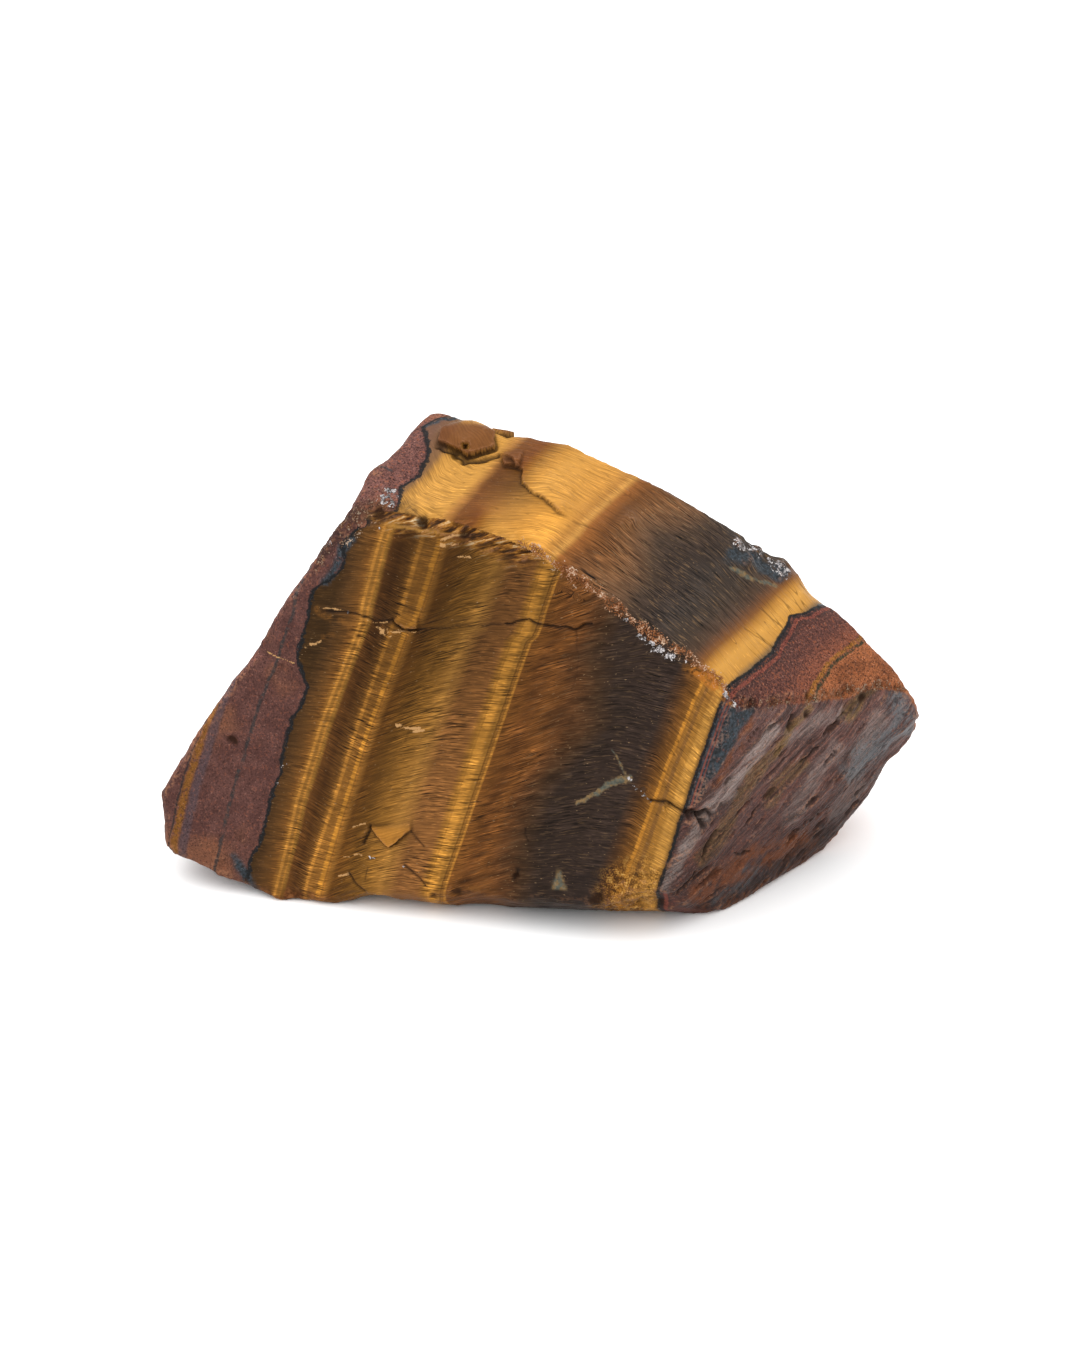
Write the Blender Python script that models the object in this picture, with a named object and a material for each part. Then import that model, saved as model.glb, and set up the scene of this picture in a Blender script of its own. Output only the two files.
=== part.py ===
# Rough tiger's eye: one broken chunk of banded stone that rests on its flat underside.
# The front looks towards -Y, the seat lies on Z = 0, and +X is to the right.
# Every length is in millimetres until the finished mesh is scaled to metres.

import bmesh
import bpy
import numpy as np
from mathutils import Matrix, Vector, noise

MM = 0.001
SEED_SHIFT = Vector((41.3, 17.9, 5.1))
CELL_SPREAD = 3.7

# The chunk's fracture faces, each a flat cut through the raw block: the way it faces
# in degrees around the vertical (0 front, 90 right, 180 back), how far it tilts up
# (negative overhangs), and its distance from the middle of the seat.
RAW_BLOCK = 90.0
FRACTURE_FACES = {
    "front": (-14.5, 12.0, 12.2),
    "right side": (40.5, -8.0, 15.8),
    "right slope of the top": (62.0, 49.5, 27.6),
    "middle slope of the top": (53.5, 59.5, 27.9),
    "left slope of the top": (7.0, 76.0, 31.3),
    "left side": (-108.5, 30.5, 28.1),
    "left shoulder": (-117.5, 38.0, 31.2),
    "left heel": (-104.0, -9.0, 27.7),
    "right tip": (63.0, 4.0, 26.4),
    "upper back": (155.5, 32.0, 24.3),
    "upper back on the left": (161.5, 30.0, 23.0),
    "upper back on the right": (129.0, 28.5, 28.1),
    "back": (176.0, -3.0, 12.6),
    "back on the left": (-148.0, 6.0, 18.0),
    "undercut in front": (-2.5, -56.0, 4.5),
    "undercut on the left": (-102.0, -74.0, 5.3),
    "undercut on the right": (47.0, -17.0, 15.8),
    "undercut at the far right": (112.0, -40.0, 16.8),
    "undercut at the back": (168.0, -50.0, 5.1),
}
SPARE_BELOW_SEAT = 1.5

# Fineness of the working surface, the wear of its edges, and the finished mesh.
WORKING_GRAIN = 0.4
EDGE_WEAR_PASSES = 2
EDGE_WEAR = 0.5
LAST_WEAR = 0.3
FINISHED_TRIANGLES = 8800
SEAT_SNAP = 0.2

# General unevenness: lump size and height.
UNEVENNESS = {
    "swells": (11.0, 0.30),
    "lumps": (3.6, 0.13),
    "grit": (1.3, 0.07),
}

# The hidden faces are hackly, split into tilted facets: size, slope and height limit.
# The facets are longer along the stone's layers, and their borders wander.
HACKLE = {
    "broad facets": (7.5, 0.26, 0.60),
    "small facets": (3.1, 0.20, 0.28),
}
HACKLE_BORDER = 0.16
HACKLE_WARP = 1.8
HACKLE_WARP_SIZE = 0.6
HACKLE_PROUD = 0.3
HACKLE_FROM_SIDES = 1.6
LAYER_STRETCH = Matrix.Rotation(0.4, 3, "Y") @ Matrix.Diagonal((1.0, 0.8, 0.55))

# Raised and sunken places: middle, radius and height (sunken where negative).
SWELLS_AND_HOLLOWS = {
    "knob at the summit": ((-7.6, 9.6, 34.7), 3.2, 0.50),
    "scoop behind the ridge": ((-8.8, 1.8, 32.8), 4.6, -0.75),
    "rim beside the scoop": ((-12.6, 2.6, 32.6), 2.6, 0.45),
    "shell-shaped scar below the ridge": ((-3.4, -5.9, 28.3), 4.4, -0.50),
    "fold of the front": ((4.4, -9.2, 21.0), 5.5, 0.35),
    "dish of the dark front": ((6.8, -11.2, 15.5), 6.5, -0.45),
    "belly of the front": ((-9.5, -6.8, 14.0), 8.0, 0.40),
    "crystal pocket": ((17.8, 4.4, 24.8), 2.6, -0.60),
    "notch in the right skyline": ((21.8, 5.0, 21.4), 2.0, -0.75),
    "knob on the top": ((6.6, 1.6, 29.6), 1.2, 0.35),
    "arch under the front edge": ((-4.6, -10.6, 0.4), 4.2, -0.75),
    "pit beside the gold band": ((12.4, -13.4, 11.2), 1.3, -0.85),
    "pit at the right edge": ((24.6, -3.2, 15.6), 1.5, -0.80),
    "pit at the side's upper edge": ((19.6, -7.8, 16.6), 1.2, -0.60),
    "hump at the right tip": ((29.4, 1.4, 11.6), 2.8, 0.50),
    "swell of the right side": ((21.5, -4.6, 7.0), 5.5, 0.45),
    "hollow at the band's foot": ((8.2, -13.6, 5.6), 2.4, -0.45),
    "sag of the left edge": ((-23.0, -1.6, 20.0), 5.0, -0.30),
}

# Edges that have crumbled: the line they follow, reach to each side, depth, crumb size.
# A crumb takes up most of its cell, and the rest is the gap around it.
CRUMB_FULLNESS = 1.4
CRUMBLED_EDGES = {
    "ridge on the left": (
        [(-15.1, -1.9, 32.3), (-7.3, -3.9, 32.3), (-1.8, -5.7, 30.9)], 2.2, 0.75, 1.5),
    "ridge on the right": (
        [(-1.8, -5.7, 30.9), (3.8, -7.7, 28.0), (7.4, -9.2, 25.3), (14.7, -12.2, 20.3)], 1.3, 0.50, 1.1),
    "upper edge of the right side": (
        [(14.7, -12.2, 20.3), (22.0, -5.6, 17.4), (29.3, 1.4, 14.7)], 1.6, 0.60, 1.6),
    "foot of the gold band": (
        [(10.2, -13.9, 8.6), (8.6, -14.2, 3.6)], 2.2, 0.70, 1.2),
    "front lower edge": (
        [(-20.2, -7.7, 0.6), (-8.0, -10.5, 1.5), (8.4, -14.4, 3.1), (12.8, -10.1, 0.8)], 1.5, 0.55, 1.8),
    "lower left corner": (
        [(-31.0, -3.2, 7.5), (-30.3, -4.4, 3.0), (-20.2, -7.7, 0.6)], 1.4, 0.35, 1.7),
}

# Cracks and furrows: line, half width and depth. They wander to either side of the line.
CRACK_WANDER = 0.25
CRACK_WANDER_SIZE = 1.1
CRACKS = {
    "crack across the front": (
        [(-16.6, -3.4, 23.8), (-11.1, -5.0, 23.2), (-5.9, -6.2, 23.8), (-1.1, -7.1, 25.0),
         (-0.3, -7.4, 24.7), (3.4, -8.3, 25.1)], 0.35, 0.30),
    "crack down to the pit": ([(6.5, -11.5, 13.8), (9.3, -12.6, 12.3), (12.4, -13.6, 11.5)], 0.45, 0.40),
    "crack in the red layer": ([(-22.9, -2.5, 20.6), (-19.0, -3.7, 19.6)], 0.40, 0.30),
    "furrow high on the side": ([(24.2, -3.2, 15.6), (20.4, -5.8, 12.4), (16.9, -8.4, 9.9)], 0.60, 0.45),
    "furrow in the middle": ([(21.8, -5.4, 14.8), (17.2, -8.6, 10.8), (14.4, -10.7, 7.0)], 0.55, 0.40),
    "furrow low on the side": ([(26.0, -0.6, 8.0), (21.6, -4.1, 5.4), (17.9, -6.6, 3.6)], 0.60, 0.40),
    "furrow at the corner": ([(17.0, -9.0, 13.4), (13.3, -11.5, 9.4), (11.4, -12.6, 5.6)], 0.55, 0.45),
    "furrow along the seam": ([(28.4, 0.8, 12.6), (24.6, -2.2, 10.2), (21.4, -4.6, 8.6)], 0.50, 0.35),
}

# Thin broken layers. Each one lifts the surface on one side of a line, which points
# "towards" the raised side: line, that direction, height, how far the lift runs on.
LEDGE_RISE = 0.3
LEDGES = {
    "ledge across the top": (
        [(-3.4, 4.4, 33.4), (-1.4, 2.0, 32.8), (0.1, -0.3, 32.1), (1.6, -1.6, 31.2), (3.4, -2.0, 30.4)],
        (0.75, 0.65, -0.1), 0.45, 5.5),
    "ledge across the front": (
        [(-16.6, -3.4, 23.8), (-11.1, -5.0, 23.2), (-5.9, -6.2, 23.8), (3.4, -8.3, 25.1)],
        (0.0, 0.2, 1.0), 0.20, 4.0),
}

# Loose-looking flakes that stand proud: corners in order, and thickness.
FLAKES = {
    "flake by the summit": (
        [(-8.9, 6.9, 34.3), (-6.0, 4.5, 33.6), (-3.6, 6.1, 33.9), (-5.4, 8.6, 34.6)], 0.95),
    "small flake": ([(-4.1, 7.6, 34.3), (-2.6, 6.6, 33.9), (-3.3, 5.6, 33.8)], 0.50),
    "three-cornered flake": ([(-13.8, -7.7, 7.2), (-10.4, -8.5, 8.1), (-12.2, -8.4, 6.0)], 0.45),
    "splinter below the ridge": (
        [(-10.6, -3.3, 31.6), (-6.2, -4.6, 30.9), (-4.4, -5.1, 30.7), (-8.4, -4.1, 30.4)], 0.45),
}
FLAKE_RISE = 0.25
FLAKE_REACH = 2.0

STONE_COLOUR = (0.20, 0.095, 0.035, 1.0)
STONE_ROUGHNESS = 0.5


def clear_scene():
    for thing in list(bpy.data.objects):
        bpy.data.objects.remove(thing, do_unlink=True)


def facing(turn, tilt):
    """Direction that a face looks in, from its turn around the vertical and its tilt."""
    turn, tilt = np.radians(turn), np.radians(tilt)
    return Vector((np.cos(tilt) * np.sin(turn), -np.cos(tilt) * np.cos(turn), np.sin(tilt)))


def broken_block():
    """Raw block with every fracture face cut and closed."""
    block = bmesh.new()
    bmesh.ops.create_cube(block, size=RAW_BLOCK)
    cuts = [(facing(turn, tilt), distance) for turn, tilt, distance in FRACTURE_FACES.values()]
    cuts.append((Vector((0, 0, -1)), SPARE_BELOW_SEAT))
    for direction, distance in cuts:
        everything = block.verts[:] + block.edges[:] + block.faces[:]
        cut = bmesh.ops.bisect_plane(
            block, geom=everything, plane_co=direction * distance, plane_no=direction, clear_outer=True)
        rim = [item for item in cut["geom_cut"] if isinstance(item, bmesh.types.BMEdge)]
        bmesh.ops.contextual_create(block, geom=rim)
    mesh = bpy.data.meshes.new("broken block")
    block.to_mesh(mesh)
    block.free()
    return mesh


def evaluated_copy(mesh, modifier_type, **settings):
    """The mesh after one modifier."""
    carrier = bpy.data.objects.new("carrier", mesh)
    bpy.context.scene.collection.objects.link(carrier)
    modifier = carrier.modifiers.new(modifier_type.title(), modifier_type)
    for name, value in settings.items():
        setattr(modifier, name, value)
    view = bpy.context.evaluated_depsgraph_get()
    result = bpy.data.meshes.new_from_object(carrier.evaluated_get(view))
    bpy.data.objects.remove(carrier)
    bpy.data.meshes.remove(mesh)
    return result


def fade(distance, reach):
    """1 at no distance, easing to 0 at the reach."""
    near = np.clip(1.0 - distance / reach, 0.0, 1.0)
    return near * near * (3.0 - 2.0 * near)


def to_line(points, line):
    """Distance from each point to a line of straight stretches, and its nearest place."""
    best = np.full(len(points), np.inf)
    nearest = np.zeros_like(points)
    for start, end in zip(np.array(line[:-1]), np.array(line[1:])):
        along = end - start
        share = np.clip((points - start) @ along / (along @ along), 0.0, 1.0)
        place = start + share[:, None] * along
        distance = np.linalg.norm(points - place, axis=1)
        closer = distance < best
        best[closer] = distance[closer]
        nearest[closer] = place[closer]
    return best, nearest


def noise_at(points, size):
    return np.array([noise.noise(Vector(point) / size + SEED_SHIFT) for point in points])


def crumbs_at(points, size):
    """0 to 1: high inside each crumb-sized cell, low between the cells."""
    depth = []
    for point in points:
        first, second = noise.voronoi(Vector(point) / size + SEED_SHIFT)[0][:2]
        depth.append(second - first)
    return np.clip(np.array(depth) * CRUMB_FULLNESS, 0.0, 1.0)


def hackle_at(points, size, slope):
    """Height of tilted facets, one for each cell of the stone, meeting along shallow seams."""
    height = []
    for point in points:
        wander = noise.noise_vector(Vector(point) / (size * HACKLE_WARP_SIZE)) * HACKLE_WARP / size
        place = LAYER_STRETCH @ Vector(point) / size + wander + SEED_SHIFT
        distances, centres = noise.voronoi(place)
        tilt = 2.0 * noise.cell_vector(centres[0] * CELL_SPREAD) - Vector((1.0, 1.0, 1.0))
        inside = min((distances[1] - distances[0]) / HACKLE_BORDER, 1.0)
        height.append((place - centres[0]).dot(tilt) * size * slope * inside)
    return np.array(height)


def uneven_height(points, normals):
    height = np.zeros(len(points))
    for size, amount in UNEVENNESS.values():
        height += amount * noise_at(points, size)
    hidden = np.clip(np.maximum(normals[:, 1], -normals[:, 2]) * HACKLE_FROM_SIDES, 0.0, 1.0)
    for size, slope, limit in HACKLE.values():
        height += hidden * np.clip(hackle_at(points, size, slope), -limit, HACKLE_PROUD * limit)
    return height


def swell_height(points):
    height = np.zeros(len(points))
    for middle, radius, amount in SWELLS_AND_HOLLOWS.values():
        height += amount * fade(np.linalg.norm(points - np.array(middle), axis=1), radius)
    return height


def crumble_height(points):
    height = np.zeros(len(points))
    for line, reach, depth, size in CRUMBLED_EDGES.values():
        near = fade(to_line(points, line)[0], reach)
        touched = near > 0
        height[touched] -= depth * near[touched] * (1.0 - crumbs_at(points[touched], size))
    return height


def crack_height(points):
    height = np.zeros(len(points))
    wander = CRACK_WANDER * noise_at(points, CRACK_WANDER_SIZE)
    for line, half_width, depth in CRACKS.values():
        height -= depth * fade(to_line(points, line)[0] + wander, half_width * 2.0)
    return height


def ledge_height(points):
    height = np.zeros(len(points))
    for line, towards, amount, run in LEDGES.values():
        distance, nearest = to_line(points, line)
        side = (points - nearest) @ np.array(towards)
        height += amount * fade(distance, run) * np.clip(side / LEDGE_RISE, 0.0, 1.0)
    return height


def flake_height(points, normals):
    height = np.zeros(len(points))
    for corners, thickness in FLAKES.values():
        corners = np.array(corners)
        middle = corners.mean(axis=0)
        across = np.cross(corners[1] - corners[0], corners[2] - corners[0])
        across /= np.linalg.norm(across)
        inside = np.full(len(points), np.inf)
        for start, end in zip(corners, np.roll(corners, -1, axis=0)):
            inward = np.cross(across, end - start)
            inward /= np.linalg.norm(inward)
            inward *= np.sign((middle - start) @ inward)
            inside = np.minimum(inside, (points - start) @ inward)
        close = np.abs((points - middle) @ across) < FLAKE_REACH
        height += thickness * close * np.clip(inside / FLAKE_RISE, 0.0, 1.0)
    return height


def wear(shape, amount):
    bmesh.ops.smooth_vert(shape, verts=shape.verts[:], factor=amount,
                          use_axis_x=True, use_axis_y=True, use_axis_z=True)


def work_surface(mesh):
    """Wears the sharp edges, then moves every point in or out along its normal."""
    shape = bmesh.new()
    shape.from_mesh(mesh)
    for _ in range(EDGE_WEAR_PASSES):
        wear(shape, EDGE_WEAR)
    shape.normal_update()
    points = np.array([vert.co[:] for vert in shape.verts])
    normals = np.array([vert.normal[:] for vert in shape.verts])
    height = (uneven_height(points, normals) + swell_height(points) + crumble_height(points)
              + crack_height(points) + ledge_height(points) + flake_height(points, normals))
    for vert, place in zip(shape.verts, points + normals * height[:, None]):
        vert.co = place
    wear(shape, LAST_WEAR)
    shape.to_mesh(mesh)
    shape.free()


def cut_seat(mesh):
    """Cuts the underside off flat at Z = 0 and closes it with one flat face."""
    shape = bmesh.new()
    shape.from_mesh(mesh)
    for vert in shape.verts:
        if abs(vert.co.z) < SEAT_SNAP:
            vert.co.z = 0.0
    everything = shape.verts[:] + shape.edges[:] + shape.faces[:]
    bmesh.ops.bisect_plane(shape, geom=everything, plane_co=(0, 0, 0), plane_no=(0, 0, -1), clear_outer=True)
    rim = [edge for edge in shape.edges if edge.is_boundary]
    bmesh.ops.contextual_create(shape, geom=rim)
    bmesh.ops.triangulate(shape, faces=shape.faces[:], ngon_method="BEAUTY")
    bmesh.ops.recalc_face_normals(shape, faces=shape.faces[:])
    shape.to_mesh(mesh)
    shape.free()


def centre_on_seat(mesh):
    """Puts the middle of the outline over the origin and turns millimetres to metres."""
    points = np.array([vert.co[:] for vert in mesh.vertices])
    middle = (points.min(axis=0) + points.max(axis=0)) / 2.0
    mesh.transform(Matrix.Translation((-middle[0], -middle[1], 0.0)))
    mesh.transform(Matrix.Scale(MM, 4))


def stone_material():
    material = bpy.data.materials.new("tigers_eye")
    material.use_nodes = True
    shader = material.node_tree.nodes["Principled BSDF"]
    shader.inputs["Base Color"].default_value = STONE_COLOUR
    shader.inputs["Roughness"].default_value = STONE_ROUGHNESS
    shader.inputs["Metallic"].default_value = 0.0
    material.diffuse_color = STONE_COLOUR
    return material


def build_stone():
    mesh = broken_block()
    mesh = evaluated_copy(mesh, "REMESH", mode="VOXEL", voxel_size=WORKING_GRAIN)
    work_surface(mesh)
    triangles = sum(len(face.vertices) - 2 for face in mesh.polygons)
    mesh = evaluated_copy(mesh, "DECIMATE", ratio=FINISHED_TRIANGLES / triangles)
    cut_seat(mesh)
    centre_on_seat(mesh)
    mesh.name = "stone"
    mesh.materials.append(stone_material())
    stone = bpy.data.objects.new("stone", mesh)
    bpy.context.scene.collection.objects.link(stone)
    return stone


clear_scene()
build_stone()
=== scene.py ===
import math

import bmesh
import bpy
import numpy as np
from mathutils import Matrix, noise


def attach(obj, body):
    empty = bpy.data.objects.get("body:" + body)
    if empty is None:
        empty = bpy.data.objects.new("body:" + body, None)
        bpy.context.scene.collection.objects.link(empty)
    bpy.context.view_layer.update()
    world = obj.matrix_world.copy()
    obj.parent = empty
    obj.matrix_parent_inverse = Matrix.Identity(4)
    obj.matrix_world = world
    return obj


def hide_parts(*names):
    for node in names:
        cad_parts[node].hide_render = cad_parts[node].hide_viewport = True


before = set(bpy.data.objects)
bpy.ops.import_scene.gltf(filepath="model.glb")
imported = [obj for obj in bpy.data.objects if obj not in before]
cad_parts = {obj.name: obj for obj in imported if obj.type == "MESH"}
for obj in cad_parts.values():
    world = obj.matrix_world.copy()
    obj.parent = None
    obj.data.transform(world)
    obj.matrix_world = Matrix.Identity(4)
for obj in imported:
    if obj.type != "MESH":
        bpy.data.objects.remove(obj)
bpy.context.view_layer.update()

mmPerMetre = 1000.0
scene = bpy.context.scene
scene.view_settings.view_transform = "Standard"
print("frame loaded")


# The studio: camera, white table, soft light

camera = {
    "place": (-0.00018, -0.23946, 0.13844),
    "tilt": 63.0,  # degrees up from looking straight down
    "lens": 90.0,
    "pictureHeight": 36.0,  # mm of film on the tall side
}

studio = {
    "tableSize": 3.0,
    "tableDrop": 0.00003,  # keeps the table just under the stone's seat
    "tableColour": (0.96, 0.96, 0.96),
    "skyStrength": 0.95,
    "lampTurn": -30.0,  # degrees, towards the left of the camera
    "lampLean": 9.0,  # degrees from straight above
    "lampStrength": 0.9,
    "lampSpread": 110.0,  # degrees, so that shadows are soft
}


def newMesh(name, bm):
    mesh = bpy.data.meshes.new(name)
    bm.to_mesh(mesh)
    bm.free()
    return mesh


def newObject(name, data):
    piece = bpy.data.objects.new(name, data)
    scene.collection.objects.link(piece)
    return piece


def makeCamera():
    data = bpy.data.cameras.new("camera")
    data.lens = camera["lens"]
    data.sensor_fit = "VERTICAL"
    data.sensor_height = camera["pictureHeight"]
    data.clip_start = 0.01
    data.clip_end = 20.0
    eye = newObject("camera", data)
    eye.location = camera["place"]
    eye.rotation_euler = (math.radians(camera["tilt"]), 0.0, 0.0)
    scene.camera = eye


def makeTable():
    bm = bmesh.new()
    bmesh.ops.create_grid(bm, x_segments=2, y_segments=2, size=studio["tableSize"] / 2)
    bmesh.ops.translate(bm, verts=bm.verts, vec=(0.0, 0.0, -studio["tableDrop"]))
    table = newObject("table", newMesh("table", bm))
    paint = bpy.data.materials.new("tablePaint")
    paint.use_nodes = True
    shader = paint.node_tree.nodes["Principled BSDF"]
    shader.inputs["Base Color"].default_value = (*studio["tableColour"], 1.0)
    shader.inputs["Roughness"].default_value = 0.9
    shader.inputs["Specular IOR Level"].default_value = 0.1
    table.data.materials.append(paint)


def makeLight():
    world = bpy.data.worlds.new("softWhite")
    world.use_nodes = True
    sky = world.node_tree.nodes["Background"]
    sky.inputs["Color"].default_value = (1.0, 1.0, 1.0, 1.0)
    sky.inputs["Strength"].default_value = studio["skyStrength"]
    scene.world = world
    data = bpy.data.lights.new("softLamp", "SUN")
    data.energy = studio["lampStrength"] * math.pi
    data.angle = math.radians(studio["lampSpread"])
    lamp = newObject("softLamp", data)
    lamp.location = (0.0, 0.0, 1.0)
    lamp.rotation_euler = (math.radians(studio["lampLean"]), 0.0, math.radians(studio["lampTurn"]))


makeCamera()
makeTable()
makeLight()
print("camera, table and light ready")


# The stone. Lengths are in mm, in the frame's own directions, and are turned to metres at the end.

stone = {
    "skin": 0.5,  # size of the even quads before the closer faces are split
    "smoothAll": 2,
    "smoothFlats": 10,
    "turnedAway": -0.12,  # how far a face may look away from the camera and still be made finer
    "flatTurn": 9.0,  # degrees between neighbours, above which a point lies on an edge
    "fineReach": 0.55,  # how far from a drawn line the skin is split once more
    "seatHeight": 0.06,
    "pressed": 0.85,  # how far marks are pressed together along the camera's view
    "plateLevel": 31.5,  # the plates of the top lie above this height
    "flakeDepth": -4.0,  # the flakes of the front lie nearer than this
    # the layers stand across this direction, counted in mm from the dark seam on the left
    "across": (0.869, -0.447, -0.211),
    "start": 17.9,
    # where the drawn lines of the bands run at each height of the front, and the place they count as
    "courseHeights": (30.0, 25.0, 23.8, 23.3, 15.0, 8.5, 3.0),
    "courses": {
        2.5: (2.46, 2.6, 2.7, 2.85, 2.34, 2.29, 2.7),
        5.1: (5.45, 5.5, 5.5, 5.15, 5.07, 5.0, 4.82),
        6.0: (6.8, 6.8, 6.75, 6.25, 5.92, 5.8, 5.86),
        15.3: (15.7, 15.9, 15.8, 15.45, 15.3, 15.2, 15.1),
        28.5: (29.2, 29.2, 29.2, 29.15, 28.5, 28.4, 28.2),
        30.9: (30.8, 30.8, 30.85, 30.85, 30.85, 30.9, 30.8),
    },
    # the left seam: height on the front, or depth on the top, and its place across the layers
    "seamFront": ((1.2, 0.1), (3.5, 0.0), (4.7, 0.3), (7.6, 0.1), (9.2, 0.0), (10.6, 0.2), (12.1, -0.1),
                  (15.1, -0.15), (16.5, 0.25), (17.8, 0.25), (18.9, -0.6), (20.0, -1.25), (23.1, -1.3),
                  (24.4, -1.5), (25.4, -1.6), (26.4, -0.5), (27.3, 0.1), (28.1, 0.1), (29.0, -0.45),
                  (30.2, 0.1), (31.7, 0.9), (32.6, 2.6)),
    "seamTop": ((-3.0, 2.5), (-1.8, 2.3), (0.5, 1.3), (2.3, 1.6), (4.6, 1.0), (7.2, -0.7), (7.7, -1.1),
                (8.5, -0.3), (8.9, 1.0), (9.4, 2.2)),
    "rightSeamTop": ((-11.8, 30.7), (-8.8, 31.05), (-5.0, 31.25), (-3.4, 30.9), (-1.2, 30.65), (0.0, 30.35),
                     (1.3, 31.05), (2.9, 31.2)),
    "ochreTop": ((-9.1, 35.3), (-7.4, 35.35), (-5.3, 35.05), (-2.8, 34.75), (-1.0, 34.8), (1.6, 35.1)),
    # how far the fibres have climbed at each layer, on the front and on the top
    "fibreFront": ((0.0, 0.0), (3.0, 0.0), (4.6, -0.6), (6.4, -0.9), (9.0, 0.66), (12.0, 1.7), (15.0, 1.85),
                   (16.0, 2.1), (20.0, 4.3), (24.0, 5.1), (27.5, 4.75), (31.0, 3.0)),
    "fibreTop": ((0.0, 0.0), (3.0, 3.6), (5.0, 4.9), (7.0, 5.3), (14.0, 5.4), (17.0, 6.1), (28.0, 9.9),
                 (31.0, 11.2)),
    # the steely strip beside the right seam: height, and how far across it reaches
    "stripEdge": ((11.4, 31.3), (12.5, 31.7), (16.0, 32.4), (19.5, 33.0)),
}

# Directions of the three faces that the camera sees
faces = {
    "front": (-0.245, -0.947, 0.208),
    "side": (0.643, -0.753, -0.139),
    "camera": (0.0, -0.891, 0.454),
}

# Lines on the stone, each as points in mm; the skin is finer beside them
lines = {
    "ridgeLeft": ((-14.8, -2.3, 32.4), (-10.9, -3.3, 32.5), (-7.2, -4.3, 32.3), (-4.1, -5.2, 31.6),
        (-1.7, -6.0, 30.9)),
    "ridgeRight": ((-1.7, -6.0, 30.9), (0.6, -6.9, 29.7), (3.8, -8.1, 28.0), (7.5, -9.6, 25.3),
        (11.1, -10.9, 23.5), (13.6, -12.0, 21.8), (14.7, -12.6, 20.3)),
    "rightEdge": ((14.7, -12.6, 20.3), (19.1, -8.6, 18.6), (23.3, -4.7, 17.1), (26.7, -1.6, 16.4),
        (29.4, 1.0, 14.7)),
    "shoulder": ((-17.6, -2.2, 28.6), (-15.5, -2.5, 30.9), (-13.9, -2.5, 32.4), (-12.6, -2.6, 33.0)),
    "veinLeft": ((2.7, -11.5, 11.2), (4.2, -11.7, 12.1), (5.2, -11.7, 13.0), (6.6, -11.9, 13.6)),
    "veinUp": ((5.2, -11.0, 16.2), (5.7, -11.4, 15.0), (6.3, -11.8, 13.9)),
    "veinRight": ((6.6, -11.9, 13.6), (7.3, -12.3, 12.8), (8.3, -12.7, 12.1)),
    "jasperCrack": ((-22.5, -2.9, 20.6), (-21.1, -3.5, 19.9), (-19.4, -4.0, 19.4)),
    "jasperCrackHigh": ((-20.8, -3.0, 22.4), (-19.4, -3.5, 22.3), (-18.4, -3.8, 22.6)),
    "topLedge": ((-3.3, 4.4, 33.6), (-1.6, 2.4, 33.0), (-1.5, 0.4, 33.0), (-0.6, -0.7, 32.5),
        (0.2, -0.9, 32.1), (1.1, -1.7, 31.4), (2.4, -1.8, 30.7)),
}

# Chips and plates that stand up: outline seen from above or from the front, how high each lifts, and how much
# of the chips' own colour it carries
plates = {
    "summitPlate": {
        "seenFrom": "above",
        "outline": ((-8.2, 5.5), (-5.9, 3.9), (-3.7, 4.6), (-3.8, 6.2), (-5.1, 7.9), (-7.1, 8.3)),
        "height": 0.62,
        "rise": ((-5.5, 7.6), (-5.7, 4.2)),  # flush at the first place, full height at the second
        "paint": 1.0,
    },
    "smallPlate": {
        "seenFrom": "above",
        "outline": ((-4.1, 7.0), (-2.9, 6.1), (-2.2, 7.1), (-3.4, 7.9)),
        "height": 0.45,
        "rise": ((-3.6, 8.0), (-2.9, 6.2)),
        "paint": 1.0,
    },
    "rubblePlate": {
        "seenFrom": "above",
        "outline": ((-3.3, 4.1), (-1.5, 4.4), (-1.8, 2.5), (-3.0, 2.9)),
        "height": 0.26,
        "rise": ((-2.2, 5.0), (-2.4, 2.8)),
        "paint": 0.5,
    },
    "frontFlake": {
        "seenFrom": "front",
        "outline": ((-13.5, 7.3), (-10.3, 8.1), (-10.3, 7.5), (-12.0, 5.9)),
        "height": 0.6,
        "rise": ((-12.2, 8.2), (-12.0, 6.0)),
        "paint": 0.8,
    },
    "crackFlake": {
        "seenFrom": "front",
        "outline": ((-11.5, 23.8), (-10.7, 24.5), (-9.6, 24.4), (-9.6, 23.3), (-10.7, 23.1), (-11.2, 23.4)),
        "height": 0.24,
        "rise": ((-10.5, 24.8), (-10.6, 23.3)),
        "paint": 0.25,
    },
}

# Hollows, carved and painted with shade: middle, how wide, how deep
hollows = (
    ((-24.5, -4.1, 12.8), 0.4, 0.22), ((-9.2, -3.9, 31.9), 0.55, 0.3), ((-12.6, -3.0, 31.9), 0.6, 0.25),
    ((-9.1, -4.0, 31.5), 0.4, 0.3), ((-8.6, -10.5, 2.3), 0.3, 0.2), ((-6.7, -10.9, 2.8), 0.35, 0.2),
    ((-6.0, -4.9, 31.0), 0.4, 0.3), ((25.4, -2.4, 15.6), 0.55, 0.45), ((20.6, -6.8, 16.4), 0.35, 0.3),
    ((4.2, -13.6, 3.6), 0.6, 0.35), ((9.4, -14.5, 3.6), 0.5, 0.35), ((-2.1, -11.7, 4.8), 0.35, 0.2),
)

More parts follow.
